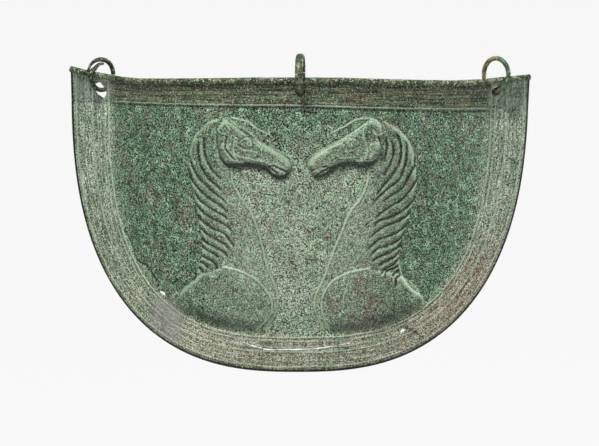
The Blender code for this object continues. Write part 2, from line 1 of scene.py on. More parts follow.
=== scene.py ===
"""Looks of the bronze belly guard: the hammered plate with its relief, the rolled rim and the three
wire rings, under their green patina. Metres, +Z up, front towards -Y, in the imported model's frame."""

import math

import bpy
import numpy as np
from mathutils import Matrix, Vector, noise


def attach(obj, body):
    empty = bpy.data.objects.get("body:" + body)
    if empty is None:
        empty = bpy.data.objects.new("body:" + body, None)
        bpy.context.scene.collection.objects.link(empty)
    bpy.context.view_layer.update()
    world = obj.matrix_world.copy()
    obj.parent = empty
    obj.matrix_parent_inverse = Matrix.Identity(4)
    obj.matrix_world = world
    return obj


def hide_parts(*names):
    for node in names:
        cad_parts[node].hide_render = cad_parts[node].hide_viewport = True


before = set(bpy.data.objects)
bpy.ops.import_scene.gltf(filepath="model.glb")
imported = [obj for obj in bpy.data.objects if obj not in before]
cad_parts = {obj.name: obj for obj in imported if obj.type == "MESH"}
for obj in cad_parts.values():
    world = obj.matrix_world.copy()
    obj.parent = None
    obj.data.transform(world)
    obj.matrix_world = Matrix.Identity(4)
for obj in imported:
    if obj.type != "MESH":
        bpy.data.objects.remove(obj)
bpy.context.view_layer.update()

bl_info = {
    "name": "Bronze belly guard",
    "version": (1, 0, 0),
    "blender": (4, 5, 0),
    "location": "3D View > Sidebar > Belly guard",
    "description": "Makes the plate, rim, rings and patina of a bronze belly guard",
    "category": "Object",
}

# The sheet, as the solids have it
HALF = 0.120
PLATE_HEIGHT = 0.150
SHEET = 0.0011
OUTLINE_POWER = 2.65
FOOT_LEAN = -0.0014
ARCH_DEPTH = 0.071
ARCH_POWER = 2.4
FOOT_TUCK = 0.010
BORDER_SIDE = 0.0204
BORDER_FOOT = 0.0175
BORDER_POWER = 3.0
FLARE_SIDE = 0.65
FLARE_FOOT = 0.30
RIB_RISE = 0.00045
RIB_HALF_WIDTH = 0.0010
EDGE_TURN = 0.0005
RIDGE_DROP = 0.0130
RIDGE_FALL = 0.040
RIDGE_RISE = 0.0006
RIDGE_HALF_WIDTH = 0.0008
BAND_LINE_HALF_WIDTH = 0.0005
FLANGE_REACH = 0.0042
FLANGE_CURVE = 1.3
BEAD_RADIUS = 0.00155

# The horses
HEAD_RISE = 0.0030
HEAD_ROUND = 0.0036
CHEEK_RISE = 0.0008
NECK_RISE = 0.0012
NECK_ROUND = 0.0026
SHOULDER_RISE = 0.0024
SHOULDER_ROUND = 0.0130
GROOVE_DEPTH = 0.0010
GROOVE_REACH = 0.0019
GROOVE_FADE = 0.14
LINE_RISE = 0.0006
LINE_HALF_WIDTH = 0.0008
FORELOCK_RISE = 0.0007
FORELOCK_ROUND = 0.0010
RELIEF_FADE = 0.0095
FACE_RISE = 0.00042
FACE_CUT_DEPTH = 0.00070
FACE_HALF_WIDTH = 0.00068
EYELID = 0.0003
RIGHT_HEAD_SHIFT = (0.004, -0.004)

# The rings
HOLE_RADIUS = 0.0028
SEAT_LIFT = 0.0004
CENTRE_WIRE_BREADTH = 1.6
LEFT_RING_START = 100.0
LEFT_RING_PARTED = 40.0
LEFT_RING_PARTING = 5.0
LEFT_RING_END = 10.0
LEFT_RING_SPREAD = 0.0021
LEFT_RING_OUTWARD = 0.0019
LEFT_RING_TAPER = 0.45
TAPER_SHARE = 0.18
PARTED_RING_STEPS = 180
WHOLE_RING_STEPS = 160
# Size of the dark lens in the ring holes: partly corrosion, partly painted shade
CRUST_AND_SHADE_RADIUS = 0.00255
CRUST_AND_SHADE_THICKNESS = 0.0004

RINGS = {
    "ring_left": {
        "side": -1, "from_end": 0.0165, "hole_drop": 0.0077, "turn_degrees": -45.0,
        "mean_radius": 0.0079, "wire_radius": 0.0012,
    },
    "ring_centre": {
        "side": 0, "from_end": 0.0, "hole_drop": 0.0058, "turn_degrees": -4.0,
        "mean_radius": 0.0088, "wire_radius": 0.0013,
    },
    "ring_right": {
        "side": 1, "from_end": 0.0178, "hole_drop": 0.0065, "turn_degrees": 46.0,
        "mean_radius": 0.0084, "wire_radius": 0.00125,
    },
}

# The fine net of the looks, and how many triangles each side of the sheet keeps
NET_STEP = 0.00042
FRONT_TRIANGLES = 136000
BACK_TRIANGLES = 40000
MAP_STEP = 0.0003
SLOPE_STEP = 0.0004
NORMAL_STEP = 0.0005
EDGE_BULGE = 0.3
HOLE_CORNERS = 40
RIM_STATIONS = 161

# Ribs of the border: place as a share of its width from the inner line, rise as a share of RIB_RISE
RIBS = ((0.02, 1.0), (0.13, 0.7), (0.30, 0.5), (0.44, 0.8), (0.70, 0.35), (0.87, 0.6))

# Fine lines of the flange: place as a share of the ridge line's drop, rise
BAND_LINES = ((0.30, 0.00010), (0.52, 0.00016), (0.66, 0.00010), (0.72, 0.00016), (0.88, 0.00018))

# Waves of the rim: place as a share of the half width, rise as a share of RIDGE_DROP
RIM_WAVES = (
    (-1.00, 0.29), (-0.93, 0.14), (-0.86, 0.03), (-0.78, -0.08), (-0.70, -0.13), (-0.50, -0.08),
    (-0.20, -0.01), (0.00, 0.00), (0.20, -0.02), (0.45, -0.12), (0.66, -0.20), (0.80, -0.19),
    (0.88, -0.13), (0.95, -0.08), (1.00, -0.04),
)


def traced(*thousandths):
    """Points from flat pairs of numbers: thousandths of the half width across, of the height down."""
    return tuple((across / 1000, down / 1000) for across, down in zip(thousandths[::2], thousandths[1::2]))


# Outlines and lines of a horse: out from the middle, and down from the rim
HEAD = traced(
    356, 161, 322, 134, 288, 144, 217, 188, 149, 219, 61, 260, 37, 290, 50, 317, 71, 334, 113, 327,
    149, 303, 224, 291, 292, 298, 326, 287, 346, 253, 356, 209,
)
CHEEK = traced(343, 236, 333, 215, 300, 222, 285, 245, 262, 270, 240, 289, 297, 296, 326, 284, 343, 264)
FORELOCK = traced(
    356, 137, 299, 127, 238, 137, 183, 161, 140, 181, 150, 206, 200, 212, 250, 196, 301, 172,
)
# Raised lines of a face: forelock, nose, ear, brow, cheek, jowl and lips
FACE_RAISED = {
    "left": (
        traced(289, 129, 254, 135, 218, 142, 197, 157, 173, 171, 147, 179, 134, 182),
        traced(
            304, 134, 265, 157, 240, 168, 208, 185, 183, 205, 147, 222, 112, 234, 76, 248, 48, 259,
            39, 271, 37, 288, 48, 311,
        ),
        traced(353, 168, 343, 179, 332, 184, 318, 184),
        traced(311, 157, 302, 166, 300, 174),
        traced(272, 222, 254, 234, 236, 241, 211, 241, 183, 248),
        traced(279, 208, 284, 225, 284, 242, 275, 256, 254, 262, 218, 268, 183, 275, 154, 277),
        traced(332, 230, 314, 251, 297, 268, 279, 276),
        traced(353, 259, 343, 282, 329, 294),
        traced(133, 288, 112, 286, 90, 294, 55, 305),
    ),
    "right": (
        traced(119, 187, 149, 175, 196, 156, 235, 137, 273, 133, 305, 133),
        traced(270, 142, 235, 162),
        traced(45, 260, 80, 243, 130, 221, 177, 203, 220, 181, 254, 162, 273, 150),
        traced(117, 233, 177, 215),
        traced(192, 243, 220, 240, 254, 228),
        traced(165, 265, 196, 266, 235, 262),
        traced(284, 144, 270, 168, 270, 187, 273, 205, 285, 231, 285, 252, 273, 271),
        traced(312, 243, 305, 262),
        traced(312, 171, 316, 184, 332, 190, 351, 184, 363, 175, 359, 162),
        traced(60, 301, 99, 290, 119, 287),
        traced(33, 274, 33, 293, 45, 312, 60, 324),
    ),
}
# Cut lines of a face: behind the cheek, under the jowl and jaw, the mouth and nostril
FACE_CUT = {
    "left": (
        traced(311, 196, 318, 216, 318, 236, 300, 253, 279, 273),
        traced(346, 245, 339, 268, 321, 288, 300, 298, 272, 294),
        traced(268, 296, 218, 295, 183, 296, 147, 306, 129, 316),
        traced(119, 290, 97, 296, 76, 305, 55, 313),
        traced(133, 294, 119, 305, 97, 316),
    ),
    "right": (
        traced(332, 193, 343, 218, 351, 243, 351, 268, 339, 284, 320, 293, 297, 290, 270, 287),
        traced(270, 295, 227, 296, 177, 304, 145, 310, 122, 321),
        traced(52, 308, 80, 296, 111, 293),
        traced(76, 321, 103, 308, 122, 299),
    ),
}
EYE = {
    "left": traced(257, 213, 240, 202, 225, 198, 208, 211, 211, 225, 229, 228, 247, 222),
    "right": traced(200, 215, 211, 203, 227, 201, 247, 214, 235, 226, 211, 228),
}
# Grooves between the mane's locks, from the crest down to the tips
MANE = {
    "left": (
        traced(473, 253, 462, 297, 428, 341, 370, 385, 334, 406, 306, 432),
        traced(431, 205, 436, 243, 423, 297, 389, 339, 353, 364, 320, 390),
        traced(405, 188, 410, 226, 401, 270, 377, 306, 349, 331, 329, 346),
        traced(480, 295, 466, 341, 428, 379, 377, 415, 339, 431, 303, 459),
        traced(463, 373, 426, 417, 374, 445, 328, 465, 303, 479),
        traced(452, 421, 410, 459, 344, 487, 309, 503, 276, 535),
        traced(444, 459, 418, 487, 366, 513, 323, 528, 290, 561, 279, 576),
        traced(437, 500, 404, 526, 355, 550, 320, 564, 291, 594),
        traced(432, 536, 404, 559, 355, 578, 320, 596, 309, 611),
        traced(429, 565, 401, 585, 369, 597, 344, 614),
        traced(428, 601, 399, 615, 369, 627, 352, 653),
        traced(431, 625, 410, 634, 385, 653),
        traced(442, 642, 426, 653, 412, 666),
        traced(453, 651, 448, 679, 461, 695),
    ),
    "right": (
        traced(399, 171, 422, 202, 431, 237, 426, 279, 397, 322, 345, 373, 321, 402),
        traced(452, 205, 456, 243, 449, 291, 424, 341, 376, 373, 329, 406, 301, 434),
        traced(489, 257, 490, 295, 467, 329, 436, 372, 386, 399, 335, 429),
        traced(503, 312, 499, 346, 471, 380, 433, 414, 386, 434, 335, 464, 310, 477),
        traced(495, 387, 484, 419, 440, 449, 393, 470, 342, 482, 297, 511),
        traced(480, 442, 459, 467, 411, 490, 364, 502, 320, 525, 294, 546),
        traced(469, 479, 443, 510, 393, 533, 342, 546, 304, 569, 288, 581),
        traced(454, 512, 430, 546, 380, 569, 332, 579, 288, 614),
        traced(442, 546, 421, 576, 373, 596, 326, 612, 304, 629),
        traced(431, 580, 405, 609, 361, 626, 329, 642),
        traced(427, 611, 399, 637, 363, 651, 345, 670),
        traced(427, 637, 399, 650, 369, 659, 363, 685),
        traced(429, 654, 405, 667, 393, 675),
        traced(433, 670, 411, 685, 411, 715),
        traced(384, 199, 397, 226, 397, 260, 381, 295, 354, 331),
        traced(361, 193, 371, 223, 364, 257, 354, 279),
    ),
}
CREST = {
    "left": traced(
        314, 130, 364, 134, 391, 142, 425, 167, 452, 191, 469, 226, 478, 271, 476, 319, 465, 366,
        452, 411, 437, 476, 422, 551, 423, 599, 439, 644, 461, 688, 501, 719, 561, 750,
    ),
    "right": traced(
        274, 132, 322, 132, 365, 142, 423, 173, 459, 202, 484, 243, 497, 298, 501, 353, 489, 410,
        471, 472, 446, 531, 426, 587, 430, 640, 450, 688, 484, 723, 531, 750,
    ),
}
CHEST = {
    "left": traced(
        292, 301, 292, 329, 284, 356, 262, 390, 233, 425, 211, 449, 186, 497, 166, 555, 151, 606,
        134, 654, 113, 692, 98, 733, 96, 774, 113, 815, 156, 856,
    ),
    "right": traced(
        290, 305, 286, 349, 259, 403, 211, 452, 177, 518, 144, 580, 103, 672, 67, 731, 62, 784,
        103, 859,
    ),
}
SHOULDER = {
    "left": traced(
        331, 641, 271, 651, 228, 664, 183, 685, 151, 714, 128, 743, 119, 777, 134, 815, 190, 862,
    ),
    "right": traced(295, 646, 209, 659, 144, 685, 108, 718, 91, 761, 99, 810, 128, 866),
}
FLANK_END = traced(400, 880, 560, 800, 500, 715, 425, 668)
HORSE_FOOT = traced(300, 920, 560, 860)

# Damage, as outlines: across from the middle, where left is minus, and down from the rim
TORN_RING_HOLE = traced(-894, 30, -871, 22, -855, 35, -840, 61, -855, 80, -871, 73, -888, 63, -902, 47)
LOWER_HOLE = traced(-612, 733, -586, 740, -582, 754, -595, 753, -609, 743)
CHIP = traced(424, 874, 442, 857, 459, 866, 444, 875)
FOOT_TEAR = traced(-250, 897, -228, 908, -169, 921, -126, 926, 2, 925, 87, 921, 194, 908, 224, 904)
CRACKS = (
    traced(-762, 531, -727, 586, -710, 627, -685, 644, -659, 654, -621, 702),
    traced(-595, 810, -597, 845, -590, 877),
    traced(-553, 712, -510, 682),
    traced(454, 856, 518, 887, 531, 897),
)
REPAIR = traced(-628, 760, -550, 765, -500, 830, -520, 905, -580, 900, -640, 850)
TEAR_WIDTH = 0.0006
TEAR_REACH = 0.0024
CRACK_DEPTH = 0.00045
CRACK_HALF_WIDTH = 0.0005

# Half widths of the dark lines (dark patina in grooves and cuts, with painted shade) and of the bright lines
# (wear with painted highlight), and how far the painted shadow of a raised line lies beside it
MANE_DARK = 0.00054
CUT_DARK = 0.00050
EYE_DARK = 0.00040
EYE_DARK_OUTSIDE = 0.0008
CRACK_DARK = 0.0004
WORN_AND_LIT_LINE = 0.00038
LINE_SHADOW = 0.00036
FACE_BRIGHT = 0.00040
SHADE_ASIDE = 0.0007
SHADE_BELOW = 0.0005
LINE_LIMIT = 0.003
DULL_SHINE = 0.25

# The two halves of the plate, and the way that each lies from the middle
SIDES = (("left", -1.0), ("right", 1.0))

# The photograph's width, its lens and where it looks beside the rim's middle, in pixels
PICTURE_WIDTH = 599.0
FOCAL_LENGTH = 3533.0
AIM_BELOW = 143.0
AIM_ASIDE = 0.7


def smooth_step(value):
    """Ease a value between 0 and 1."""
    t = np.clip(value, 0.0, 1.0)
    return t * t * (3.0 - 2.0 * t)


def in_metres(points):
    """Shares of the half width and of the height, as metres."""
    return [(across * HALF, down * PLATE_HEIGHT) for across, down in points]


def smooth_path(points, steps=6, closed=False):
    """Points in metres of a smooth curve through traced ones."""
    knots = [np.array(point) for point in in_metres(points)]
    if closed:
        knots = [knots[-1]] + knots + knots[:2]
    else:
        knots = [2 * knots[0] - knots[1]] + knots + [2 * knots[-1] - knots[-2]]
    path = []
    for before, start, end, after in zip(knots, knots[1:], knots[2:], knots[3:]):
        for step in range(steps):
            t = step / steps
            path.append(0.5 * (
                2 * start + (end - before) * t + (2 * before - 5 * start + 4 * end - after) * t**2
                + (3 * start - before - 3 * end + after) * t**3
            ))
    if not closed:
        path.append(knots[-2])
    return np.array(path)


def path_distance(across, down, path, limit=0.02):
    """Distance from each spot to a path, up to a limit, and the share of the path where it is nearest."""
    path = np.asarray(path)
    nearest = np.full(across.shape, limit)
    share = np.zeros(across.shape)
    low = path.min(axis=0) - limit
    high = path.max(axis=0) + limit
    near = (across > low[0]) & (across < high[0]) & (down > low[1]) & (down < high[1])
    here_x = across[near]
    here_z = down[near]
    gap_here = np.full(here_x.shape, limit)
    share_here = np.zeros(here_x.shape)
    count = len(path) - 1
    for index in range(count):
        (x0, z0), (x1, z1) = path[index], path[index + 1]
        run = max((x1 - x0) ** 2 + (z1 - z0) ** 2, 1e-14)
        t = np.clip(((here_x - x0) * (x1 - x0) + (here_z - z0) * (z1 - z0)) / run, 0.0, 1.0)
        gap = np.hypot(here_x - x0 - t * (x1 - x0), here_z - z0 - t * (z1 - z0))
        closer = gap < gap_here
        gap_here = np.where(closer, gap, gap_here)
        share_here = np.where(closer, (index + t) / count, share_here)
    nearest[near] = gap_here
    share[near] = share_here
    return nearest, share


def inside_depth(across, down, outline, limit=0.02):
    """How deep each spot lies inside a closed outline; outside it is negative."""
    closed = np.vstack([outline, outline[:1]])
    gap, _ = path_distance(across, down, closed, limit)
    inside = np.zeros(across.shape, dtype=bool)
    for (x0, z0), (x1, z1) in zip(closed[:-1], closed[1:]):
        if z0 == z1:
            continue
        crosses = (z0 > down) != (z1 > down)
        inside ^= crosses & (across < (x1 - x0) * (down - z0) / (z1 - z0) + x0)
    return np.where(inside, gap, -gap)


def line_gap(x, drop, line):
    """Distance from each spot to a traced line, up to a few times the line's width."""
    return path_distance(x, drop, smooth_path(line), LINE_LIMIT)[0]


def depth_in(x, drop, outline, limit=0.02):
    """How deep each spot lies inside a traced outline with smooth sides."""
    return inside_depth(x, drop, smooth_path(outline, closed=True), limit)


def raised(depth, rise, rounding):
    """Height of a form with a rounded edge, from the depth inside its outline."""
    t = np.clip(depth / rounding, 0.0, 1.0)
    return rise * np.sqrt(1.0 - (1.0 - t) ** 2)


def ridge(distance, rise, half_width):
    """Height of a rounded ridge, or of a groove if the rise is negative."""
    t = np.clip(distance / half_width, 0.0, 1.0)
    return rise * 0.5 * (1.0 + np.cos(math.pi * t))


def outline_reach(cosine, sine, half, height, power):
    """Distance from the middle of the rim to a half oval, at a bearing."""
    return ((cosine / half) ** power + (sine / height) ** power) ** (-1.0 / power)


def middle_at(drop):
    """Where the plate's middle lies across: its foot leans a little to the left."""
    return FOOT_LEAN * drop / PLATE_HEIGHT


def border_at(x, drop):
    """Reach of a spot from the middle of the rim, and of the border's inner and outer lines."""
    from_middle = np.abs(x - middle_at(drop))
    reach = np.maximum(np.hypot(from_middle, drop), 1e-6)
    bearing = np.arctan2(np.maximum(drop, 0.0), from_middle)
    cosine = np.cos(bearing)
    sine = np.sin(bearing)
    inner = outline_reach(cosine, sine, HALF - BORDER_SIDE, PLATE_HEIGHT - BORDER_FOOT, BORDER_POWER)
    outer = outline_reach(cosine, sine, HALF, PLATE_HEIGHT, OUTLINE_POWER)
    return reach, inner, outer, cosine


def ridge_drop(x):
    """How far the ridge line runs below the rim: it falls away to the right."""
    return RIDGE_DROP + RIDGE_FALL * np.maximum(x, 0.0)


def flange_share(x, drop):
    """0 on the ridge line and below it, 1 on the rim."""
    return np.clip(1.0 - drop / ridge_drop(x), 0.0, 1.0)


def bare_depth(x, drop):
    """How far the sheet's front lies behind the middle of the field, with no relief."""
    reach, inner, _, cosine = border_at(x, drop)
    beyond = np.maximum(reach - inner, 0.0)
    pull = np.minimum(inner / reach, 1.0)
    foot_x, foot_drop = np.abs(x - middle_at(drop)) * pull, drop * pull
    arch = ARCH_DEPTH * (foot_x / HALF) ** ARCH_POWER
    tuck = FOOT_TUCK * (foot_drop / PLATE_HEIGHT) ** 2
    foot_reach = np.minimum(reach, inner)
    slope = (ARCH_POWER * arch + 2.0 * tuck) / foot_reach
    flare = FLARE_FOOT + (FLARE_SIDE - FLARE_FOOT) * cosine**2
    arch_slope = ARCH_POWER * arch / np.maximum(foot_x, 1e-6)
    lean = FLANGE_REACH * flange_share(x, drop) ** FLANGE_CURVE * np.sqrt(1.0 + arch_slope**2)
    return arch + tuck + beyond * (slope - flare) - lean


def border_relief(x, drop):
    """Ribs of the border and its turned edge, the ridge line, and how far a spot is in the field."""
    reach, inner, outer, _ = border_at(x, drop)
    width = outer - inner
    height = np.zeros(x.shape)
    for place, rise in RIBS:
        height += ridge(np.abs(reach - inner - place * width), RIB_RISE * rise, RIB_HALF_WIDTH)
    height -= EDGE_TURN * smooth_step(1.0 - (outer - reach) / (2.0 * SHEET))
    in_field = smooth_step((inner - reach) / NECK_ROUND)
    height += in_field * ridge(np.abs(drop - ridge_drop(x)), RIDGE_RISE, RIDGE_HALF_WIDTH)
    for line_drop, rise in BAND_LINES:
        height += in_field * ridge(np.abs(drop - line_drop * ridge_drop(x)), rise, BAND_LINE_HALF_WIDTH)
    return height, in_field


def mane_grooves(side, across, down):
    """Depth of the grooves between a mane's locks, which fade out at their ends."""
    depth = np.zeros(across.shape)
    for line in MANE[side]:
        gap, share = path_distance(across, down, smooth_path(line), GROOVE_REACH)
        cut = GROOVE_DEPTH - raised(gap, GROOVE_DEPTH, GROOVE_REACH)
        depth = np.maximum(depth, cut * smooth_step(np.minimum(share, 1.0 - share) / GROOVE_FADE))
    return depth


def head_relief(side, across, down):
    """Height of a horse's head and forelock over the field."""
    shift = RIGHT_HEAD_SHIFT if side == "right" else (0.0, 0.0)
    moved = across + shift[0] * HALF
    raised_down = down - shift[1] * PLATE_HEIGHT
    height = raised(depth_in(moved, raised_down, HEAD), HEAD_RISE, HEAD_ROUND)
    height += raised(depth_in(moved, raised_down, CHEEK), CHEEK_RISE, HEAD_ROUND)
    forelock = raised(depth_in(moved, raised_down, FORELOCK), FORELOCK_RISE, FORELOCK_ROUND)
    height = np.maximum(height, forelock)
    eye_depth = depth_in(across, down, EYE[side])
    height += ridge(np.abs(eye_depth), FACE_RISE, FACE_HALF_WIDTH)
    height += raised(eye_depth - EYELID, FACE_RISE, 2 * FACE_HALF_WIDTH)
    for line in FACE_RAISED[side]:
        height += ridge(line_gap(across, down, line), FACE_RISE, FACE_HALF_WIDTH)
    for line in FACE_CUT[side]:
        height -= ridge(line_gap(across, down, line), FACE_CUT_DEPTH, FACE_HALF_WIDTH)
    return height


def horse_relief(side, across, down):
    """Height of one horse over the field, seen with its nose towards the middle."""
    crest = smooth_path(CREST[side])
    chest = smooth_path(CHEST[side])
    shoulder = smooth_path(SHOULDER[side])
    neck = np.vstack([crest, in_metres(HORSE_FOOT)[::-1], chest[::-1]])
    height = raised(inside_depth(across, down, neck), NECK_RISE, NECK_ROUND)
    height -= mane_grooves(side, across, down)
    flank = np.vstack([shoulder, in_metres(FLANK_END)])
    height += raised(inside_depth(across, down, flank), SHOULDER_RISE, SHOULDER_ROUND)
    for line in (chest, shoulder):
        gap, _ = path_distance(across, down, line)
        height += ridge(gap, LINE_RISE, LINE_HALF_WIDTH)
    return np.maximum(height, head_relief(side, across, down))


def relief(x, drop):
    """Height of all that stands out of the sheet's front."""
    height, in_field = border_relief(x, drop)
    reach, inner, _, _ = border_at(x, drop)
    for side, sign in SIDES:
        here = sign * x > 0.0
        forms = np.zeros(x.shape)
        forms[here] = horse_relief(side, sign * x[here], drop[here])
        height += forms * np.minimum(in_field, smooth_step((inner - reach) / RELIEF_FADE) ** 0.7)
    for crack in CRACKS:
        height -= ridge(line_gap(x, drop, crack), CRACK_DEPTH, CRACK_HALF_WIDTH)
    return height


def rim_wave(x):
    """Rise of the rim over its middle, along the waved top edge."""
    places = [place * HALF for place, _ in RIM_WAVES]
    rises = [rise * RIDGE_DROP for _, rise in RIM_WAVES]
    return np.interp(x, places, rises)


def frame_offset():
    """Where the middle of the rim lies, in y and z, so that the origin is in the centre ring's eye."""
    centre = RINGS["ring_centre"]
    drop = centre["hole_drop"]
    seat_depth = float(bare_depth(np.array([0.0]), np.array([drop]))[0]) + SHEET / 2
    eye_top = 2 * centre["mean_radius"] - centre["wire_radius"]
    return -seat_depth, -eye_top - SEAT_LIFT + drop


OFFSET_Y, OFFSET_Z = frame_offset()


def front_points(x, drop, height=0.0):
    """World places of the sheet's front for front-view spots, with a height of relief."""
    depth = bare_depth(x, drop) - height
    z = OFFSET_Z - drop + rim_wave(x) * flange_share(x, drop)
    return np.stack([x, depth + OFFSET_Y, z], axis=-1)


def spot_at(x, z):
    """The drop below the rim of front places, from where they lie across and up."""
    wave = rim_wave(x)
    in_flange = (OFFSET_Z + wave - z) / (1.0 + wave / ridge_drop(x))
    below = OFFSET_Z - z
    return np.where(in_flange < ridge_drop(x), in_flange, below)


class ReliefMap:
    """The relief, its smoothed form, its hollows and how steeply it faces down for painted shade, over a
    fine front-view grid, read between its spots.
    """

    def __init__(self, step):
        self.step = step
        self.low = (-HALF - 0.004, -0.003)
        self.x = np.arange(self.low[0], HALF + 0.004, step)
        self.drop = np.arange(self.low[1], PLATE_HEIGHT + 0.004, step)
        grid_x, grid_drop = np.meshgrid(self.x, self.drop)
        self.height = relief(grid_x.ravel(), np.maximum(grid_drop.ravel(), 0.0)).reshape(grid_x.shape)
        self.soft = self.blurred(self.height, 0.0016)
        self.hollow = self.height - self.blurred(self.height, 0.0007)
        # Painted shade: how steeply the smoothed relief faces down; the finish darkens these undersides of
        # forms
        self.lee = np.maximum(-np.gradient(self.blurred(self.height, 0.0004), step, axis=0), 0.0)

    def blurred(self, field, reach):
        """A field smoothed over a reach."""
        half = int(round(3 * reach / self.step))
        weights = np.exp(-0.5 * (np.arange(-half, half + 1) * self.step / reach) ** 2)
        weights /= weights.sum()
        wide = np.pad(field, half, mode="edge")
        wide = np.apply_along_axis(np.convolve, 1, wide, weights, "valid")
        return np.apply_along_axis(np.convolve, 0, wide, weights, "valid")

    def read(self, field, x, drop):
        """Values of a field at spots."""
        column = np.clip((x - self.low[0]) / self.step, 0, len(self.x) - 1.001)
        row = np.clip((drop - self.low[1]) / self.step, 0, len(self.drop) - 1.001)
        left = column.astype(int)
        top = row.astype(int)
        right_share = column - left
        low_share = row - top
        upper = field[top, left] * (1 - right_share) + field[top, left + 1] * right_share
        lower = field[top + 1, left] * (1 - right_share) + field[top + 1, left + 1] * right_share
        return upper * (1 - low_share) + lower * low_share


def net_spots(step):
    """Front-view spots of the net: rows from the rim to the foot, whose last lines follow the edge."""
    columns = int((HALF - BORDER_SIDE) / step)
    field_rows = int((PLATE_HEIGHT - BORDER_FOOT) / step)
    border = int(BORDER_SIDE / step)
    steps = np.arange(1, border + 1) / border
    side = np.concatenate([np.arange(columns + 1) / columns, 1.0 + steps])
    rows = np.concatenate([np.arange(field_rows + 1) / field_rows, 1.0 + steps])
    u, v = np.meshgrid(np.concatenate([-side[:0:-1], side]), rows)
    level = np.maximum(np.abs(u), v)
    flat_x = u * (HALF - BORDER_SIDE)
    flat_drop = v * (PLATE_HEIGHT - BORDER_FOOT)
    reach, inner, outer, _ = border_at(flat_x + middle_at(flat_drop), flat_drop)
    target = np.where(level <= 1.0, level * inner, inner + (level - 1.0) * (outer - inner))
    weight = smooth_step(level)
    scale = np.where(level > 0.0, 1.0 - weight + weight * target / reach, 1.0)
    drop = flat_drop * scale
    return flat_x * scale + middle_at(drop), drop


def tear_outline(path, width):
    """The outline of a tear along a path, pointed at both ends."""
    line = smooth_path(path, steps=8)
    upper, lower = [], []
    for index, spot in enumerate(line):
        share = index / (len(line) - 1)
        ragged = 1.0 + 0.35 * math.sin(37.0 * share) + 0.25 * math.sin(91.0 * share + 1.0)
        half = 0.5 * width * ragged * max(math.sin(math.pi * share), 0.2) ** 0.5
        ahead = line[min(index + 1, len(line) - 1)] - line[max(index - 1, 0)]
        ahead = ahead / np.linalg.norm(ahead)
        across = np.array((-ahead[1], ahead[0]))
        upper.append(spot - across * half)
        lower.append(spot + across * half)
    return np.array(upper + lower[::-1])


def front_point(x, drop):
    """One place on the sheet's front, without relief."""
    return Vector(front_points(np.array([x]), np.array([drop]))[0])


def sheet_normal(x, drop):
    """Direction that the sheet's front faces."""
    along = front_point(x + NORMAL_STEP, drop) - front_point(x - NORMAL_STEP, drop)
    down = front_point(x, drop + NORMAL_STEP) - front_point(x, drop - NORMAL_STEP)
    return along.cross(down).normalized() * -1.0


def ring_hole(name):
    """The middle of a ring's hole, half a sheet behind its front, and the sheet's normal there."""
    size = RINGS[name]
    across = size["side"] * (HALF - size["from_end"])
    front = front_point(across, size["hole_drop"])
    return front + Vector((0.0, SHEET / 2, 0.0)), sheet_normal(across, size["hole_drop"])


def ring_hole_outline(name):
    """The front-view outline of a ring's round hole, drilled square to the sheet."""
    hole, normal = ring_hole(name)
    turn = normal.to_track_quat("Z", "Y").to_matrix()
    outline = []
    for step in range(HOLE_CORNERS):
        angle = 2.0 * math.pi * step / HOLE_CORNERS
        worn = 1.0 + 0.03 * math.sin(3.0 * angle + RINGS[name]["side"])
        spot = hole + turn @ Vector((math.cos(angle), math.sin(angle), 0.0)) * HOLE_RADIUS * worn
        outline.append((spot.x, float(spot_at(np.array([spot.x]), np.array([spot.z]))[0])))
    return np.array(outline)


def cut_out(x, drop, quads, outline):
    """Take the quads inside an outline away, and draw the spots around them onto it."""
    middle_x = x[quads].mean(axis=1)
    middle_drop = drop[quads].mean(axis=1)
    gone = inside_depth(middle_x, middle_drop, outline, 0.01) > 0.0
    edge = np.intersect1d(np.unique(quads[gone]), np.unique(quads[~gone]))
    closed = np.vstack([outline, outline[:1]])
    nearest = np.full(edge.shape, np.inf)
    new_x = x[edge].copy()
    new_drop = drop[edge].copy()
    for (x0, z0), (x1, z1) in zip(closed[:-1], closed[1:]):
        run = max((x1 - x0) ** 2 + (z1 - z0) ** 2, 1e-14)
        t = np.clip(((x[edge] - x0) * (x1 - x0) + (drop[edge] - z0) * (z1 - z0)) / run, 0.0, 1.0)
        spot_x = x0 + t * (x1 - x0)
        spot_drop = z0 + t * (z1 - z0)
        gap = np.hypot(x[edge] - spot_x, drop[edge] - spot_drop)
        closer = gap < nearest
        nearest = np.where(closer, gap, nearest)
        new_x = np.where(closer, spot_x, new_x)
        new_drop = np.where(closer, spot_drop, new_drop)
    x[edge] = new_x
    drop[edge] = new_drop
    return quads[~gone]


def mesh_from(name, places, faces):
    """A mesh from arrays of places and of faces with the same number of corners."""
    mesh = bpy.data.meshes.new(name)
    mesh.from_pydata([tuple(place) for place in places], [], [tuple(face) for face in faces])
    return mesh


def add_piece(name, data):
    """A new object in the scene; a piece stays at the origin, and its place is in its mesh."""
    piece = bpy.data.objects.new(name, data)
    bpy.context.scene.collection.objects.link(piece)
    return piece


def made_plain(piece):
    """Take the result of a piece's modifiers as its mesh."""
    bpy.context.view_layer.update()
    graph = bpy.context.evaluated_depsgraph_get()
    mesh = bpy.data.meshes.new_from_object(piece.evaluated_get(graph))
    old = piece.data
    piece.modifiers.clear()
    piece.data = mesh
    bpy.data.meshes.remove(old)
    mesh.name = piece.name
    return piece


def thinned(piece, triangles, group=""):
    """Collapse a piece's flattest faces until it has a number of triangles."""
    piece.data.calc_loop_triangles()
    step = piece.modifiers.new("few_faces", "DECIMATE")
    step.ratio = min(1.0, triangles / len(piece.data.loop_triangles))
    step.vertex_group = group
    return made_plain(piece)


def places_of(mesh):
    """The places of a mesh's corners as an array."""
    places = np.empty(3 * len(mesh.vertices))
    mesh.vertices.foreach_get("co", places)
    return places.reshape(-1, 3)


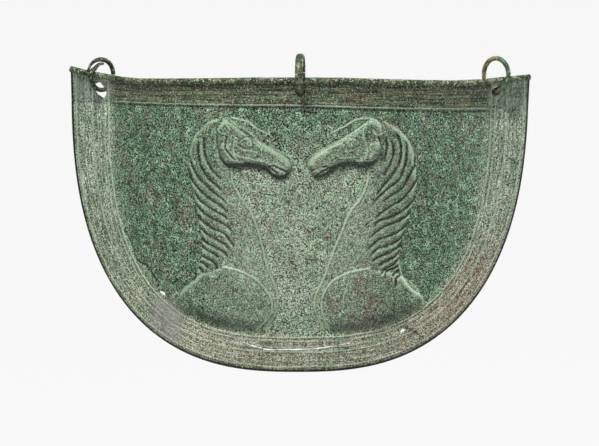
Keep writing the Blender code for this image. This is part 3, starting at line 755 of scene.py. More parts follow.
def put_values(mesh, name, values):
    """Store one number per corner of a mesh for the finishes to read."""
    layer = mesh.attributes.get(name) or mesh.attributes.new(name, "FLOAT", "POINT")
    layer.data.foreach_set("value", np.asarray(values, dtype=np.float32))


def soft_line(gap, half_width):
    """1 on a line, falling away softly beside it."""
    return np.exp(-(gap / half_width) ** 2)


def sheet_values(relief_map, x, drop):
    """Numbers that the plate's finish reads: where a spot lies, how worn or hollow it is, and where it
    paints shade and highlight along the relief.
    """
    reach, inner, outer, _ = border_at(x, drop)
    dark, bright, flank, crack = np.zeros((4, *x.shape))
    for side, sign in SIDES:
        across = sign * x
        # Dark lines along the mane's grooves, the face's cuts and round the eye: dark patina in these
        # hollows and painted shade
        for line in MANE[side]:
            gap, share = path_distance(across, drop, smooth_path(line), LINE_LIMIT)
            fade = smooth_step(np.minimum(share, 1.0 - share) / GROOVE_FADE)
            dark = np.maximum(dark, fade * soft_line(gap, MANE_DARK))
        for line in FACE_CUT[side]:
            dark = np.maximum(dark, 0.9 * soft_line(line_gap(across, drop, line), CUT_DARK))
        eye = depth_in(across, drop, EYE[side], LINE_LIMIT)
        dark = np.maximum(dark, 0.5 * soft_line(eye + EYE_DARK_OUTSIDE, EYE_DARK))
        # Bright lines on the raised chest and shoulder lines: partly wear, partly painted highlight
        for line in (CHEST[side], SHOULDER[side]):
            bright = np.maximum(bright, soft_line(line_gap(across, drop, line), WORN_AND_LIT_LINE))
            # Painted shadow: a dark line just beside and below each raised chest and shoulder line
            gap = line_gap(across - SHADE_ASIDE, drop - SHADE_BELOW, line)
            dark = np.maximum(dark, 0.55 * soft_line(gap, LINE_SHADOW))
        # Bright lines on the raised lines of the face: partly wear, partly painted highlight
        for line in FACE_RAISED[side]:
            bright = np.maximum(bright, 0.55 * soft_line(line_gap(across, drop, line), FACE_BRIGHT))
        outline = np.vstack([smooth_path(SHOULDER[side]), in_metres(FLANK_END)])
        flank = np.maximum(flank, smooth_step(inside_depth(across, drop, outline) / 0.004))
    for line in CRACKS:
        crack = np.maximum(crack, soft_line(line_gap(x, drop, line), CRACK_DARK))
    repair = depth_in(x, drop, REPAIR)
    return {
        "hollow": relief_map.read(relief_map.hollow, x, drop) * 1000.0,
        "lee": relief_map.read(relief_map.lee, x, drop),
        "rise": relief_map.read(relief_map.soft, x, drop) * 1000.0,
        "groove": dark,
        "line": bright,
        "flank": flank * (1.0 + 0.5 * np.sign(x)),
        "crack": crack,
        "repair": smooth_step(0.5 + repair / 0.006),
        "edge": (reach - inner) / (outer - inner),
        "bearing": np.arctan2(np.maximum(drop, 0.0), x - middle_at(drop)),
        "drop": drop * 1000.0,
        "flange": drop / ridge_drop(x),
        "side": np.abs(x) / HALF,
    }


def plate_mesh(step, front_triangles, back_triangles):
    """The sheet: a fine net in its relief, pierced and thinned, with a softer back and a rounded edge."""
    relief_map = ReliefMap(MAP_STEP)
    x, drop = net_spots(step)
    rows, columns = x.shape
    x = x.ravel()
    drop = drop.ravel()
    first = (np.arange(rows - 1)[:, None] * columns + np.arange(columns - 1)[None, :]).ravel()
    quads = np.stack([first, first + columns, first + columns + 1, first + 1], axis=-1)
    outlines = [
        *(ring_hole_outline(name) for name in RINGS),
        np.array(in_metres(TORN_RING_HOLE)),
        np.array(in_metres(LOWER_HOLE)),
        np.array(in_metres(CHIP)),
        tear_outline(FOOT_TEAR, TEAR_WIDTH),
    ]
    for outline in outlines:
        quads = cut_out(x, drop, quads, outline)
    used, quads = np.unique(quads, return_inverse=True)
    quads = quads.reshape(-1, 4)
    x = x[used]
    drop = drop[used]
    front = add_piece("sheet_front", mesh_from("sheet_front", front_points(
        x, drop, relief_map.read(relief_map.height, x, drop)), quads))
    thinned(front, front_triangles)

    places = places_of(front.data)
    front.data.calc_loop_triangles()
    corners = np.empty(3 * len(front.data.loop_triangles), dtype=np.int32)
    front.data.loop_triangles.foreach_get("vertices", corners)
    corners = corners.reshape(-1, 3)
    bpy.data.objects.remove(front)
    count = len(places)
    x = places[:, 0]
    drop = spot_at(x, places[:, 2])

    def soft_front(across, below):
        return front_points(across, below, relief_map.read(relief_map.soft, across, below))

    here = soft_front(x, drop)
    along = soft_front(x + SLOPE_STEP, drop) - here
    down = soft_front(x, drop + SLOPE_STEP) - here
    outward = np.cross(down, along)
    outward /= np.linalg.norm(outward, axis=1)[:, None]
    back = here - outward * SHEET
    tear_gap, _ = path_distance(x, drop, smooth_path(FOOT_TEAR), 0.006)
    near_tear = np.exp(-(tear_gap / TEAR_REACH) ** 2)[:, None]
    straight = np.array([0.0, 1.0, 0.0]) * (SHEET / np.maximum(-outward[:, 1], 0.5))[:, None]
    back = back + near_tear * (here + straight - back)

    edges = np.concatenate([corners[:, [0, 1]], corners[:, [1, 2]], corners[:, [2, 0]]])
    forward = edges[:, 0].astype(np.int64) * count + edges[:, 1]
    reverse = edges[:, 1].astype(np.int64) * count + edges[:, 0]
    rim = edges[~np.isin(forward, reverse)]
    middle = (places + back) / 2
    push = np.zeros((count, 3))
    ahead = places[rim[:, 1]] - places[rim[:, 0]]
    ahead /= np.maximum(np.linalg.norm(ahead, axis=1), 1e-9)[:, None]
    away = np.cross(ahead, outward[rim[:, 0]])
    np.add.at(push, rim[:, 0], away)
    np.add.at(push, rim[:, 1], away)
    rim_spots = np.unique(rim)
    push[rim_spots] /= np.maximum(np.linalg.norm(push[rim_spots], axis=1), 1e-9)[:, None]
    turned = np.full(count, -1)
    turned[rim_spots] = 2 * count + np.arange(len(rim_spots))
    bulge = middle[rim_spots] + push[rim_spots] * SHEET * EDGE_BULGE * (1.0 - near_tear[rim_spots])
    a, b = rim[:, 0], rim[:, 1]
    wall = np.concatenate([
        np.stack([b, a, turned[a]], axis=-1), np.stack([b, turned[a], turned[b]], axis=-1),
        np.stack([turned[b], turned[a], a + count], axis=-1),
        np.stack([turned[b], a + count, b + count], axis=-1),
    ])
    faces = np.concatenate([corners, corners[:, ::-1] + count, wall])
    plate = add_piece("hammered_plate", mesh_from("hammered_plate", np.vstack([places, back, bulge]), faces))
    values = sheet_values(relief_map, x, drop)
    for name, numbers in values.items():
        put_values(plate.data, name, np.concatenate([numbers, numbers, numbers[rim_spots]]))
    on_back = np.concatenate([np.zeros(count), np.ones(count), np.full(len(rim_spots), 0.5)])
    put_values(plate.data, "back", on_back)
    inner_back = np.setdiff1d(np.arange(count), rim_spots) + count
    group = plate.vertex_groups.new(name="back")
    group.add(inner_back.tolist(), 1.0, "REPLACE")
    thinned(plate, len(corners) + len(wall) + back_triangles, "back")
    plate.vertex_groups.clear()
    plate.data.shade_smooth()
    return plate


def add_node(tree, kind, settings=None, sockets=None):
    """Add a node to a tree, with its settings first and then the values or links of its sockets."""
    node = tree.nodes.new(kind)
    for key, value in (settings or {}).items():
        setattr(node, key, value)
    for key, value in (sockets or {}).items():
        value = getattr(value, "socket", value)
        if isinstance(value, bpy.types.NodeSocket):
            tree.links.new(value, node.inputs[key])
        else:
            node.inputs[key].default_value = value
    return node


class Amount:
    """A socket of a finish, so that sums of its values are written as plain expressions."""

    def __init__(self, bench, socket):
        self.bench = bench
        self.socket = socket

    def __add__(self, other):
        return self.bench.maths("ADD", self, other)

    def __radd__(self, other):
        return self.bench.maths("ADD", other, self)

    def __sub__(self, other):
        return self.bench.maths("SUBTRACT", self, other)

    def __rsub__(self, other):
        return self.bench.maths("SUBTRACT", other, self)

    def __mul__(self, other):
        return self.bench.maths("MULTIPLY", self, other)

    def __rmul__(self, other):
        return self.bench.maths("MULTIPLY", other, self)

    def __truediv__(self, other):
        return self.bench.maths("DIVIDE", self, other)

    def __rtruediv__(self, other):
        return self.bench.maths("DIVIDE", other, self)


class Bench:
    """Where a finish is mixed: it adds nodes to one material."""

    def __init__(self, name):
        self.material = bpy.data.materials.new(name)
        self.material.use_nodes = True
        self.tree = self.material.node_tree
        self.tree.nodes.clear()

    def node(self, kind, settings=None, sockets=None, output=0):
        """Add a node with its settings and the values or links of its sockets."""
        return Amount(self, add_node(self.tree, kind, settings, sockets).outputs[output])

    def maths(self, operation, first, second=0.0, third=0.0):
        """One step of a sum."""
        return self.node("ShaderNodeMath", {"operation": operation}, {0: first, 1: second, 2: third})

    def eased(self, value, low, high, start=0.0, end=1.0):
        """Ease from start to end while a value goes from low to high."""
        return self.node("ShaderNodeMapRange", {"interpolation_type": "SMOOTHSTEP"},
                         {0: value, 1: low, 2: high, 3: start, 4: end})

    def blend(self, share, first, second):
        """Mix two colours."""
        return self.node("ShaderNodeMix", {"data_type": "RGBA"}, {0: share, 6: first, 7: second}, output=2)

    def scaled(self, colour, gain):
        """Make a colour lighter or darker by a gain."""
        return self.node("ShaderNodeVectorMath", {"operation": "SCALE"}, {0: colour, "Scale": gain})

    def number(self, name):
        """A number stored on the piece."""
        return self.node("ShaderNodeAttribute", {"attribute_name": name}, output="Fac")

    def place(self, stretch=(1.0, 1.0, 1.0), shift=(0.0, 0.0, 0.0)):
        """Object coordinates, stretched and shifted."""
        spot = self.node("ShaderNodeTexCoord", output="Object")
        return self.node("ShaderNodeMapping", sockets={"Vector": spot, "Scale": stretch, "Location": shift})

    def grain(self, where, scale, detail=2.0, roughness=0.55):
        """Noise of a grain size."""
        return self.node("ShaderNodeTexNoise", {}, {
            "Vector": where, "Scale": scale, "Detail": detail, "Roughness": roughness})

    def finish(self, colour, roughness, bump, bump_depth, metal=0.0):
        """Put the finish on the shader."""
        normal = self.node("ShaderNodeBump", sockets={
            "Height": bump, "Strength": 1.0, "Distance": bump_depth})
        return self.worn_by(self.node("ShaderNodeBsdfPrincipled", sockets={
            "Base Color": colour, "Roughness": roughness, "Normal": normal, "Metallic": metal,
            "Specular IOR Level": DULL_SHINE}))

    def worn_by(self, shader):
        """Put a shader out as the material's surface."""
        add_node(self.tree, "ShaderNodeOutputMaterial", sockets={"Surface": shader})
        return self.material


def tone(red, green, blue):
    """A colour as the eye reads it, 0 to 255, made linear for the shader."""
    linear = []
    for part in (red, green, blue):
        share = part / 255.0
        linear.append(share / 12.92 if share <= 0.04045 else ((share + 0.055) / 1.055) ** 2.4)
    return (*linear, 1.0)


def speckled(bench, colour, where, layers):
    """Lay specks over a colour: each layer has its colour, grain, threshold, softness and strength."""
    for index, (speck, scale, low, high, strength) in enumerate(layers):
        spot = bench.node("ShaderNodeVectorMath", {"operation": "ADD"},
                          {0: where, 1: (0.37 * index + 0.11, 0.53 * index, 0.29 * index)})
        mask = bench.eased(bench.grain(spot, scale, 1.5, 0.6), low, high)
        colour = bench.blend(mask * strength, colour, speck)
    return colour


def plate_patina():
    """The plate's patina: sea green with brown, mint and mauve specks, dark hollows and worn lines, with
    painted shade under forms, in creases, under the rim and on the outer edge, and painted highlights on
    ridges and raised lines.
    """
    bench = Bench("plate_patina")
    where = bench.place()
    edge = bench.number("edge")
    side = bench.number("side")
    hollow = bench.number("hollow")
    flange = bench.number("flange")
    back = bench.number("back")
    drop = bench.number("drop")
    bearing = bench.number("bearing")

    patches = bench.grain(where, 34.0, 3.0, 0.6)
    cloud = bench.grain(bench.place(shift=(0.31, 0.17, 0.05)), 105.0, 3.0, 0.65)
    mottle = bench.grain(bench.place(shift=(0.07, 0.41, 0.23)), 230.0, 3.0, 0.7)
    salt = bench.grain(where, 1600.0, 1.0, 0.6)
    in_border = bench.eased(edge + 0.5 * (cloud - 0.5), -0.10, 0.07)
    in_band = 1.0 - bench.eased(flange, 0.97, 1.03)

    # Darker towards the sides and towards the top and foot of the field: partly darker patina, partly
    # painted shade where the plate curves away
    out_from_middle = bench.maths("MAXIMUM", side * 1.9 - 0.10, bench.maths("ABSOLUTE", drop - 88.0) / 88.0)
    outer = bench.eased(out_from_middle + 0.5 * (patches - 0.5), 0.30, 0.85)
    field = bench.blend(bench.eased(patches, 0.35, 0.65), tone(124, 146, 122), tone(150, 164, 144))
    field = bench.blend(outer, field, tone(76, 108, 83))
    field = bench.blend(bench.eased(cloud, 0.52, 0.66) * 0.5, field, tone(112, 98, 88))
    deep = bench.eased(mottle, 0.52, 0.40)
    field = bench.blend(deep * (0.22 + 0.34 * outer), field, tone(34, 52, 37))
    flank = bench.number("flank")
    field = bench.blend(bench.eased(flank, 0.0, 0.5) * 0.55, field, tone(88, 112, 86))
    field = bench.blend(bench.eased(flank, 0.8, 1.5) * bench.eased(cloud, 0.44, 0.56) * 0.5, field,
                        tone(104, 92, 82))
    near = bench.eased(edge, -0.34, -0.02)
    field = bench.blend(near * 0.6, field, tone(122, 142, 118))
    field = bench.blend(bench.eased(mottle, 0.55, 0.66) * 0.5, field, tone(150, 182, 150))

    streak_spot = bench.node("ShaderNodeCombineXYZ", sockets={0: edge * 30.0, 1: bearing * 7.0, 2: 0.0})
    streak = bench.grain(streak_spot, 1.0, 3.0, 0.75)
    thread_spot = bench.node("ShaderNodeCombineXYZ", sockets={0: edge * 75.0, 1: bearing * 11.0, 2: 3.0})
    thread = bench.grain(thread_spot, 1.0, 2.0, 0.7)
    low_border = bench.eased(drop, 55.0, 135.0)
    high_tone = bench.blend(bench.eased(cloud, 0.40, 0.60), tone(106, 128, 104), tone(142, 158, 136))
    low_tone = bench.blend(bench.eased(cloud, 0.40, 0.60), tone(104, 112, 86), tone(136, 136, 114))
    border = bench.blend(low_border, high_tone, low_tone)
    right_low = bench.eased(bearing, 1.25, 0.9) * bench.eased(drop, 70.0, 110.0)
    border = bench.blend(right_low * 0.6, border, tone(120, 98, 78))
    left_low = bench.eased(bearing, 1.9, 2.15) * bench.eased(drop, 45.0, 85.0)
    border = bench.blend(left_low * 0.6, border, tone(88, 108, 80))
    border = bench.blend(bench.eased(streak, 0.48, 0.60) * 0.35, border, tone(146, 142, 148))
    border = bench.scaled(border, bench.eased(streak, 0.38, 0.60, 0.60, 1.40))
    border = bench.scaled(border, bench.eased(thread, 0.41, 0.59, 0.58, 1.48))

    line_spot = bench.node("ShaderNodeCombineXYZ", sockets={
        0: side * 6.0, 1: flange * 19.0, 2: bearing * 0.8})
    lines = bench.grain(line_spot, 1.0, 2.0, 0.7)
    band = bench.blend(bench.eased(cloud, 0.40, 0.60), tone(66, 84, 60), tone(98, 102, 78))
    band = bench.scaled(band, bench.eased(lines, 0.40, 0.60, 0.40, 1.95))
    # Painted shadow: the band darkens to near black just under the rolled rim
    rim_shadow = bench.eased(flange, 0.34, 0.10)
    band = bench.blend(rim_shadow * 0.85, band, tone(24, 30, 20))

    colour = bench.blend(in_band, field, band)
    colour = bench.blend(in_border, colour, border)
    on_horse = bench.eased(bench.number("rise"), 0.3, 1.0)
    contrast = (0.85 + 0.50 * outer) * (1.0 - 0.40 * in_border) * (1.0 - 0.60 * in_band)
    contrast = contrast * (1.0 - 0.35 * on_horse)
    colour = bench.scaled(colour, 1.0 + contrast * bench.eased(salt, 0.38, 0.62, -1.0, 1.35))
    colour = speckled(bench, colour, where, (
        (tone(120, 62, 50), 1150.0, 0.60, 0.65, 0.8),
        (tone(190, 222, 192), 1250.0, 0.60, 0.65, 0.8),
        (tone(140, 130, 150), 900.0, 0.60, 0.66, 0.55),
        (tone(20, 30, 18), 950.0, 0.60, 0.65, 0.8),
    ))
    cream = bench.eased(bench.grain(where, 900.0, 1.0), 0.60, 0.66)
    colour = bench.blend(cream * in_border * 0.25, colour, tone(214, 220, 196))
    rust = bench.eased(bench.grain(where, 520.0, 2.0), 0.66, 0.72)
    colour = bench.blend(rust * 0.7, colour, tone(150, 84, 48))

    # Painted highlight along the top of the ridge line, broken by grain, and painted shadow just under it
    ridge_highlight = bench.eased(bench.maths("ABSOLUTE", flange - 0.99), 0.035, 0.012)
    ridge_shadow = bench.eased(bench.maths("ABSOLUTE", flange - 1.08), 0.045, 0.015)
    off_border = 1.0 - bench.eased(edge, -0.12, -0.02)
    ridge_highlight = ridge_highlight * off_border * bench.eased(salt, 0.36, 0.54)
    colour = bench.blend(ridge_highlight, colour, tone(150, 168, 140))
    colour = bench.blend(ridge_shadow * off_border * 0.6, colour, tone(30, 38, 26))

    # Darkening: dark patina with painted shade in hollows, grooves and cuts, painted shadow beside raised
    # lines, painted shade under forms, and the dark of the cracks
    dark = bench.maths("MAXIMUM", bench.eased(hollow, -0.06, -0.25) * 0.4, bench.number("groove"))
    dark = bench.maths("MAXIMUM", dark, bench.eased(bench.number("lee"), 0.15, 0.8) * 0.85)
    dark = bench.maths("MAXIMUM", dark, bench.number("crack"))
    colour = bench.blend(dark * 0.95, colour, tone(14, 20, 12))
    # Painted highlight, partly wear: ridges of the relief lighter only where they face up, and the raised
    # lines lighter
    upward_lit_side = 1.0 - bench.eased(bench.number("lee"), 0.02, 0.14)
    worn = bench.maths("MAXIMUM", bench.eased(hollow, 0.03, 0.13) * upward_lit_side, bench.number("line") * 1.3)
    colour = bench.blend(worn * bench.eased(salt, 0.36, 0.50, 0.45, 0.75), colour, tone(172, 194, 164))
    colour = bench.blend(bench.number("repair") * 0.55, colour, tone(140, 138, 134))
    # Painted shade: a near-black line along the turned-back outer edge
    colour = bench.blend(bench.eased(edge, 0.935, 0.96) * 0.95, colour, tone(10, 14, 8))
    inside = bench.blend(bench.eased(patches, 0.35, 0.65), tone(88, 92, 66), tone(112, 128, 100))
    inside = bench.scaled(inside, bench.eased(salt, 0.40, 0.61, 0.6, 1.35))
    inside = speckled(bench, inside, where, (
        (tone(54, 52, 36), 420.0, 0.54, 0.66, 0.7),
        (tone(138, 162, 138), 560.0, 0.58, 0.66, 0.6),
        (tone(120, 84, 60), 360.0, 0.60, 0.68, 0.6),
    ))
    # Painted shade: the back darker where it lies hollow behind the raised relief
    inside = bench.blend(bench.eased(bench.number("rise"), 0.5, 2.6) * 0.55, inside, tone(48, 56, 40))
    colour = bench.blend(back, colour, inside)

    pits = bench.grain(where, 900.0, 2.0, 0.6)
    dimples = bench.grain(where, 160.0, 2.0, 0.5)
    bump = pits * 0.5 + dimples * 0.5 + thread * in_border * 0.9 + lines * in_band * 0.9
    roughness = 0.42 + 0.26 * cloud
    return bench.finish(colour, roughness, bump, 0.0004, 0.1)


def wire_patina(name, body, lights, darks, rust, share, far_side=0.0):
    """A ring's patina: body colour, light and dark blotches, rust, and green to the right of a place."""
    bench = Bench(name)
    where = bench.place()
    blotch = bench.grain(where, 320.0, 3.0, 0.6)
    colour = bench.blend(bench.eased(blotch, 0.42, 0.60), body, lights)
    colour = bench.blend(bench.eased(bench.grain(where, 560.0, 2.0), 0.52, 0.62) * 0.8, colour, darks)
    if far_side:
        across = bench.node("ShaderNodeSeparateXYZ", sockets={0: where})
        green = bench.blend(bench.eased(blotch, 0.42, 0.60), tone(30, 70, 50), tone(72, 122, 92))
        colour = bench.blend(bench.eased(across, far_side - 0.001, far_side + 0.0015) * 0.85, colour, green)
    colour = speckled(bench, colour, where, (
        (rust, 700.0, 0.60, 0.66, share),
        (tone(186, 206, 180), 1000.0, 0.60, 0.68, 0.7),
    ))
    bump = bench.grain(where, 900.0, 2.0) + 0.8 * bench.grain(where, 300.0, 2.0)
    return bench.finish(colour, 0.42 + 0.2 * blotch, bump, 0.00022, 0.25)


class Jig:
    """A tree of geometry nodes with named inputs, set on a piece and made plain."""

    def __init__(self, name):
        self.tree = bpy.data.node_groups.new(name, "GeometryNodeTree")
        self.tree.interface.new_socket(name="Geometry", in_out="OUTPUT", socket_type="NodeSocketGeometry")

    def ask(self, name, kind, default=None):
        """Add a named input."""
        socket = self.tree.interface.new_socket(name=name, in_out="INPUT", socket_type=kind)
        if default is not None:
            socket.default_value = default

    def begin(self):
        """The inputs, once all are named."""
        self.inputs = self.tree.nodes.new("NodeGroupInput")

    def node(self, kind, settings=None, sockets=None):
        """Add a node with its settings and the values or links of its sockets."""
        return add_node(self.tree, kind, settings, sockets)

    def end(self, geometry):
        """Realize what is left, give it its finish and put it out."""
        real = self.node("GeometryNodeRealizeInstances", sockets={"Geometry": geometry})
        painted = self.node("GeometryNodeSetMaterial", sockets={
            "Geometry": real.outputs[0], "Material": self.inputs.outputs["Finish"]})
        out = self.tree.nodes.new("NodeGroupOutput")
        self.tree.links.new(painted.outputs[0], out.inputs[0])

    def make(self, name, values, used=()):
        """Run the tree on a new piece with its inputs set, make it plain, and clear what it used."""
        piece = add_piece(name, bpy.data.meshes.new(name))
        step = piece.modifiers.new(self.tree.name, "NODES")
        step.node_group = self.tree
        for item in self.tree.interface.items_tree:
            if item.in_out == "INPUT" and item.name in values:
                step[item.identifier] = values[item.name]
        made_plain(piece)
        for tool in used:
            bpy.data.objects.remove(tool)
        return piece


def wire_jig():
    """Geometry nodes for a wire or rolled strip that follows a path, dented by the hammer."""
    jig = Jig("hammered_wire")
    jig.ask("Path", "NodeSocketObject")
    jig.ask("Section", "NodeSocketObject")
    jig.ask("Spacing", "NodeSocketFloat", 0.0004)
    jig.ask("Dent depth", "NodeSocketFloat", 0.0001)
    jig.ask("Dent size", "NodeSocketFloat", 0.003)
    jig.ask("Seed", "NodeSocketFloat", 1.0)
    jig.ask("Finish", "NodeSocketMaterial")
    jig.begin()
    given = jig.inputs.outputs
    path = jig.node("GeometryNodeObjectInfo", sockets={"Object": given["Path"]})
    section = jig.node("GeometryNodeObjectInfo", sockets={"Object": given["Section"]})
    even = jig.node("GeometryNodeResampleCurve", {"mode": "LENGTH"},
                    {"Curve": path.outputs["Geometry"], "Length": given["Spacing"]})
    level = jig.node("GeometryNodeSetCurveNormal", {"mode": "Z_UP"}, {"Curve": even.outputs[0]})
    size = jig.node("GeometryNodeInputRadius")
    wire = jig.node("GeometryNodeCurveToMesh", sockets={
        "Curve": level.outputs[0], "Profile Curve": section.outputs["Geometry"], "Fill Caps": True})
    if "Scale" in wire.inputs:
        jig.tree.links.new(size.outputs[0], wire.inputs["Scale"])
    per_metre = jig.node("ShaderNodeMath", {"operation": "DIVIDE"}, {0: 1.0, 1: given["Dent size"]})
    noise = jig.node("ShaderNodeTexNoise", {"noise_dimensions": "4D"}, {
        "W": given["Seed"], "Scale": per_metre.outputs[0], "Detail": 1.0})
    centred = jig.node("ShaderNodeMath", {"operation": "SUBTRACT"}, {0: noise.outputs[0], 1: 0.5})
    deep = jig.node("ShaderNodeMath", {"operation": "MULTIPLY"}, {
        0: centred.outputs[0], 1: given["Dent depth"]})
    normal = jig.node("GeometryNodeInputNormal")
    offset = jig.node("ShaderNodeVectorMath", {"operation": "SCALE"}, {
        0: normal.outputs[0], "Scale": deep.outputs[0]})
    dented = jig.node("GeometryNodeSetPosition", sockets={
        "Geometry": wire.outputs[0], "Offset": offset.outputs[0]})
    smooth = jig.node("GeometryNodeSetShadeSmooth", sockets={0: dented.outputs[0]})
    jig.end(smooth.outputs[0])
    return jig


def path_object(name, points, shares=None, closed=False):
    """A path as a curve object that is only read by the geometry nodes."""
    data = bpy.data.curves.new(name, "CURVE")
    data.dimensions = "3D"
    spline = data.splines.new("POLY")
    spline.points.add(len(points) - 1)
    for index, place in enumerate(points):
        spline.points[index].co = (*place, 1.0)
        spline.points[index].radius = shares[index] if shares else 1.0
    spline.use_cyclic_u = closed
    return add_piece(name, data)


def round_section(name, radius, breadth=1.0, count=18):
    """The outline of a hammered wire's section, broad along its ring's own axis."""
    points = []
    for step in range(count):
        angle = 2.0 * math.pi * step / count
        points.append((radius * breadth * math.cos(angle), radius * math.sin(angle), 0.0))
    return path_object(name, points, closed=True)


def ring_turn(name):
    """How a ring made in its own XY plane, wire at the origin, hangs in its hole."""
    hole, _ = ring_hole(name)
    turn = math.radians(RINGS[name]["turn_degrees"])
    outward = Vector((math.sin(turn), -math.cos(turn), 0.0))
    up = Vector((0.0, 0.0, 1.0))
    turned = Matrix((outward, up, outward.cross(up))).transposed().to_4x4()
    return Matrix.Translation(hole + up * SEAT_LIFT) @ turned


def whole_ring(size):
    """Places along a closed ring whose wire runs through the origin, and the wire's thickness there."""
    radius = size["mean_radius"]
    angles = [2.0 * math.pi * index / WHOLE_RING_STEPS for index in range(WHOLE_RING_STEPS)]
    points = [Vector((radius * math.cos(a), radius + radius * math.sin(a), 0.0)) for a in angles]
    return points, [1.0] * WHOLE_RING_STEPS


def parted_ring(size):
    """The same for a ring whose tapered ends overlap, one bent in and the other out."""
    radius = size["mean_radius"]
    points, shares = [], []
    for index in range(PARTED_RING_STEPS + 1):
        share = index / PARTED_RING_STEPS
        turned = LEFT_RING_START - share * (360.0 + LEFT_RING_START - LEFT_RING_END)
        parted = smooth_step((turned - LEFT_RING_PARTING) / (LEFT_RING_PARTED - LEFT_RING_PARTING))
        outward = smooth_step((LEFT_RING_START - 360.0 - turned) / (LEFT_RING_START - LEFT_RING_END))
        reach = radius - LEFT_RING_SPREAD * float(parted) + LEFT_RING_OUTWARD * float(outward)
        angle = math.radians(turned)
        points.append(Vector((reach * math.cos(angle), radius + reach * math.sin(angle), 0.0)))
        end_share = min(share, 1.0 - share) / TAPER_SHARE
        shares.append(1.0 - LEFT_RING_TAPER * float(smooth_step(1.0 - end_share)))
    return points, shares


def size_of(key, **words):
    """A length in metres for a settings group."""
    return bpy.props.FloatProperty(name=key, subtype="DISTANCE", unit="LENGTH", precision=5, **words)


def colour_of(key, words, default):
    """A colour for a settings group."""
    return bpy.props.FloatVectorProperty(
        name=key, description=words, subtype="COLOR", size=4, min=0.0, max=1.0, default=default)


class BellyGuardSheet(bpy.types.PropertyGroup):
    """Sizes of the hammered sheet and of its rolled rim."""

    net_step: size_of("Net step", description="Spacing of the net before it is thinned", default=NET_STEP)
    front_triangles: bpy.props.IntProperty(
        name="Front triangles", description="Triangles that the front keeps", default=FRONT_TRIANGLES)
    back_triangles: bpy.props.IntProperty(
        name="Back triangles", description="Triangles that the back keeps", default=BACK_TRIANGLES)
    rim_radius: size_of("Rim radius", description="Radius of the rolled rim", default=BEAD_RADIUS)
    grains: bpy.props.FloatProperty(
        name="Grains", description="Corrosion grains per square metre of the sheet", default=70000.0)


class BellyGuardRings(bpy.types.PropertyGroup):
    """Sizes and colours of the rings."""

    dent_depth: size_of("Dent depth", description="Depth of the hammer's dents in the wire", default=0.00016)
    dent_size: size_of("Dent size", description="Size of the hammer's dents in the wire", default=0.0028)
    left_colour: colour_of("Left ring", "Body colour of the left ring", tone(44, 58, 42))
    centre_colour: colour_of("Centre ring", "Body colour of the centre ring", tone(70, 84, 66))
    right_colour: colour_of("Right ring", "Body colour of the right ring", tone(132, 122, 92))


class BellyGuardStage(bpy.types.PropertyGroup):
    """The studio: camera, floor and lights."""

    distance: size_of("Camera distance", description="From the camera to the rim's middle", default=1.8)
    elevation: bpy.props.FloatProperty(
        name="Elevation", description="How far the camera looks down on the rim's middle",
        subtype="ANGLE", default=math.radians(2.4))
    floor_drop: size_of("Floor", description="How far the floor lies below the origin", default=0.42)
    air_light: bpy.props.FloatProperty(
        name="Air light", description="How much light the studio's air gives from all sides", default=0.10)
    key_power: bpy.props.FloatProperty(
        name="Key light", description="Power of the large soft light in front", unit="POWER", default=74.0)


class BELLYGUARD_OT_plate(bpy.types.Operator):
    """Make the hammered sheet with its relief, holes, tear and patina"""

    bl_idname = "bellyguard.plate"
    bl_label = "Hammered plate"

    def execute(self, context):
        sizes = context.scene.bellyguard_sheet
        plate = plate_mesh(sizes.net_step, sizes.front_triangles, sizes.back_triangles)
        plate.data.materials.clear()
        plate.data.materials.append(plate_patina())
        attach(plate, "plate")
        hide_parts("belly_plate")
        return {"FINISHED"}


class BELLYGUARD_OT_rim(bpy.types.Operator):
    """Roll the rim along the sheet's top edge"""

    bl_idname = "bellyguard.rim"
    bl_label = "Rolled rim"

    def execute(self, context):
        radius = context.scene.bellyguard_sheet.rim_radius
        x = np.linspace(-HALF, HALF, RIM_STATIONS)
        spots = front_points(x, np.zeros(x.shape))
        spots[:, 1] += SHEET / 2
        path = path_object("rim_path", [tuple(spot) for spot in spots])
        section = round_section("rim_section", radius)
        rim = wire_jig().make("rolled_rim", {
            "Path": path, "Section": section, "Spacing": 0.0006, "Dent depth": 0.00025,
            "Dent size": 0.004, "Seed": 3.0, "Finish": rim_patina()}, (path, section))
        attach(rim, "plate")
        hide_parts("belly_plate")
        return {"FINISHED"}


def rim_patina():
    """The rim's patina: green blotches with dark green, bright green, cream and rust specks."""
    bench = Bench("rim_patina")
    where = bench.place()
    blotch = bench.grain(where, 200.0, 3.0, 0.6)
    colour = bench.blend(bench.eased(blotch, 0.40, 0.62), tone(52, 70, 50), tone(112, 128, 98))
    colour = speckled(bench, colour, where, (
        (tone(28, 40, 26), 700.0, 0.50, 0.60, 0.8),
        (tone(40, 130, 70), 500.0, 0.60, 0.68, 0.7),
        (tone(222, 222, 196), 1100.0, 0.58, 0.64, 0.75),
        (tone(120, 74, 50), 800.0, 0.60, 0.66, 0.7),
    ))
    bump = bench.grain(where, 800.0, 2.0)
    return bench.finish(colour, 0.5 + 0.2 * blotch, bump, 0.00025, 0.1)


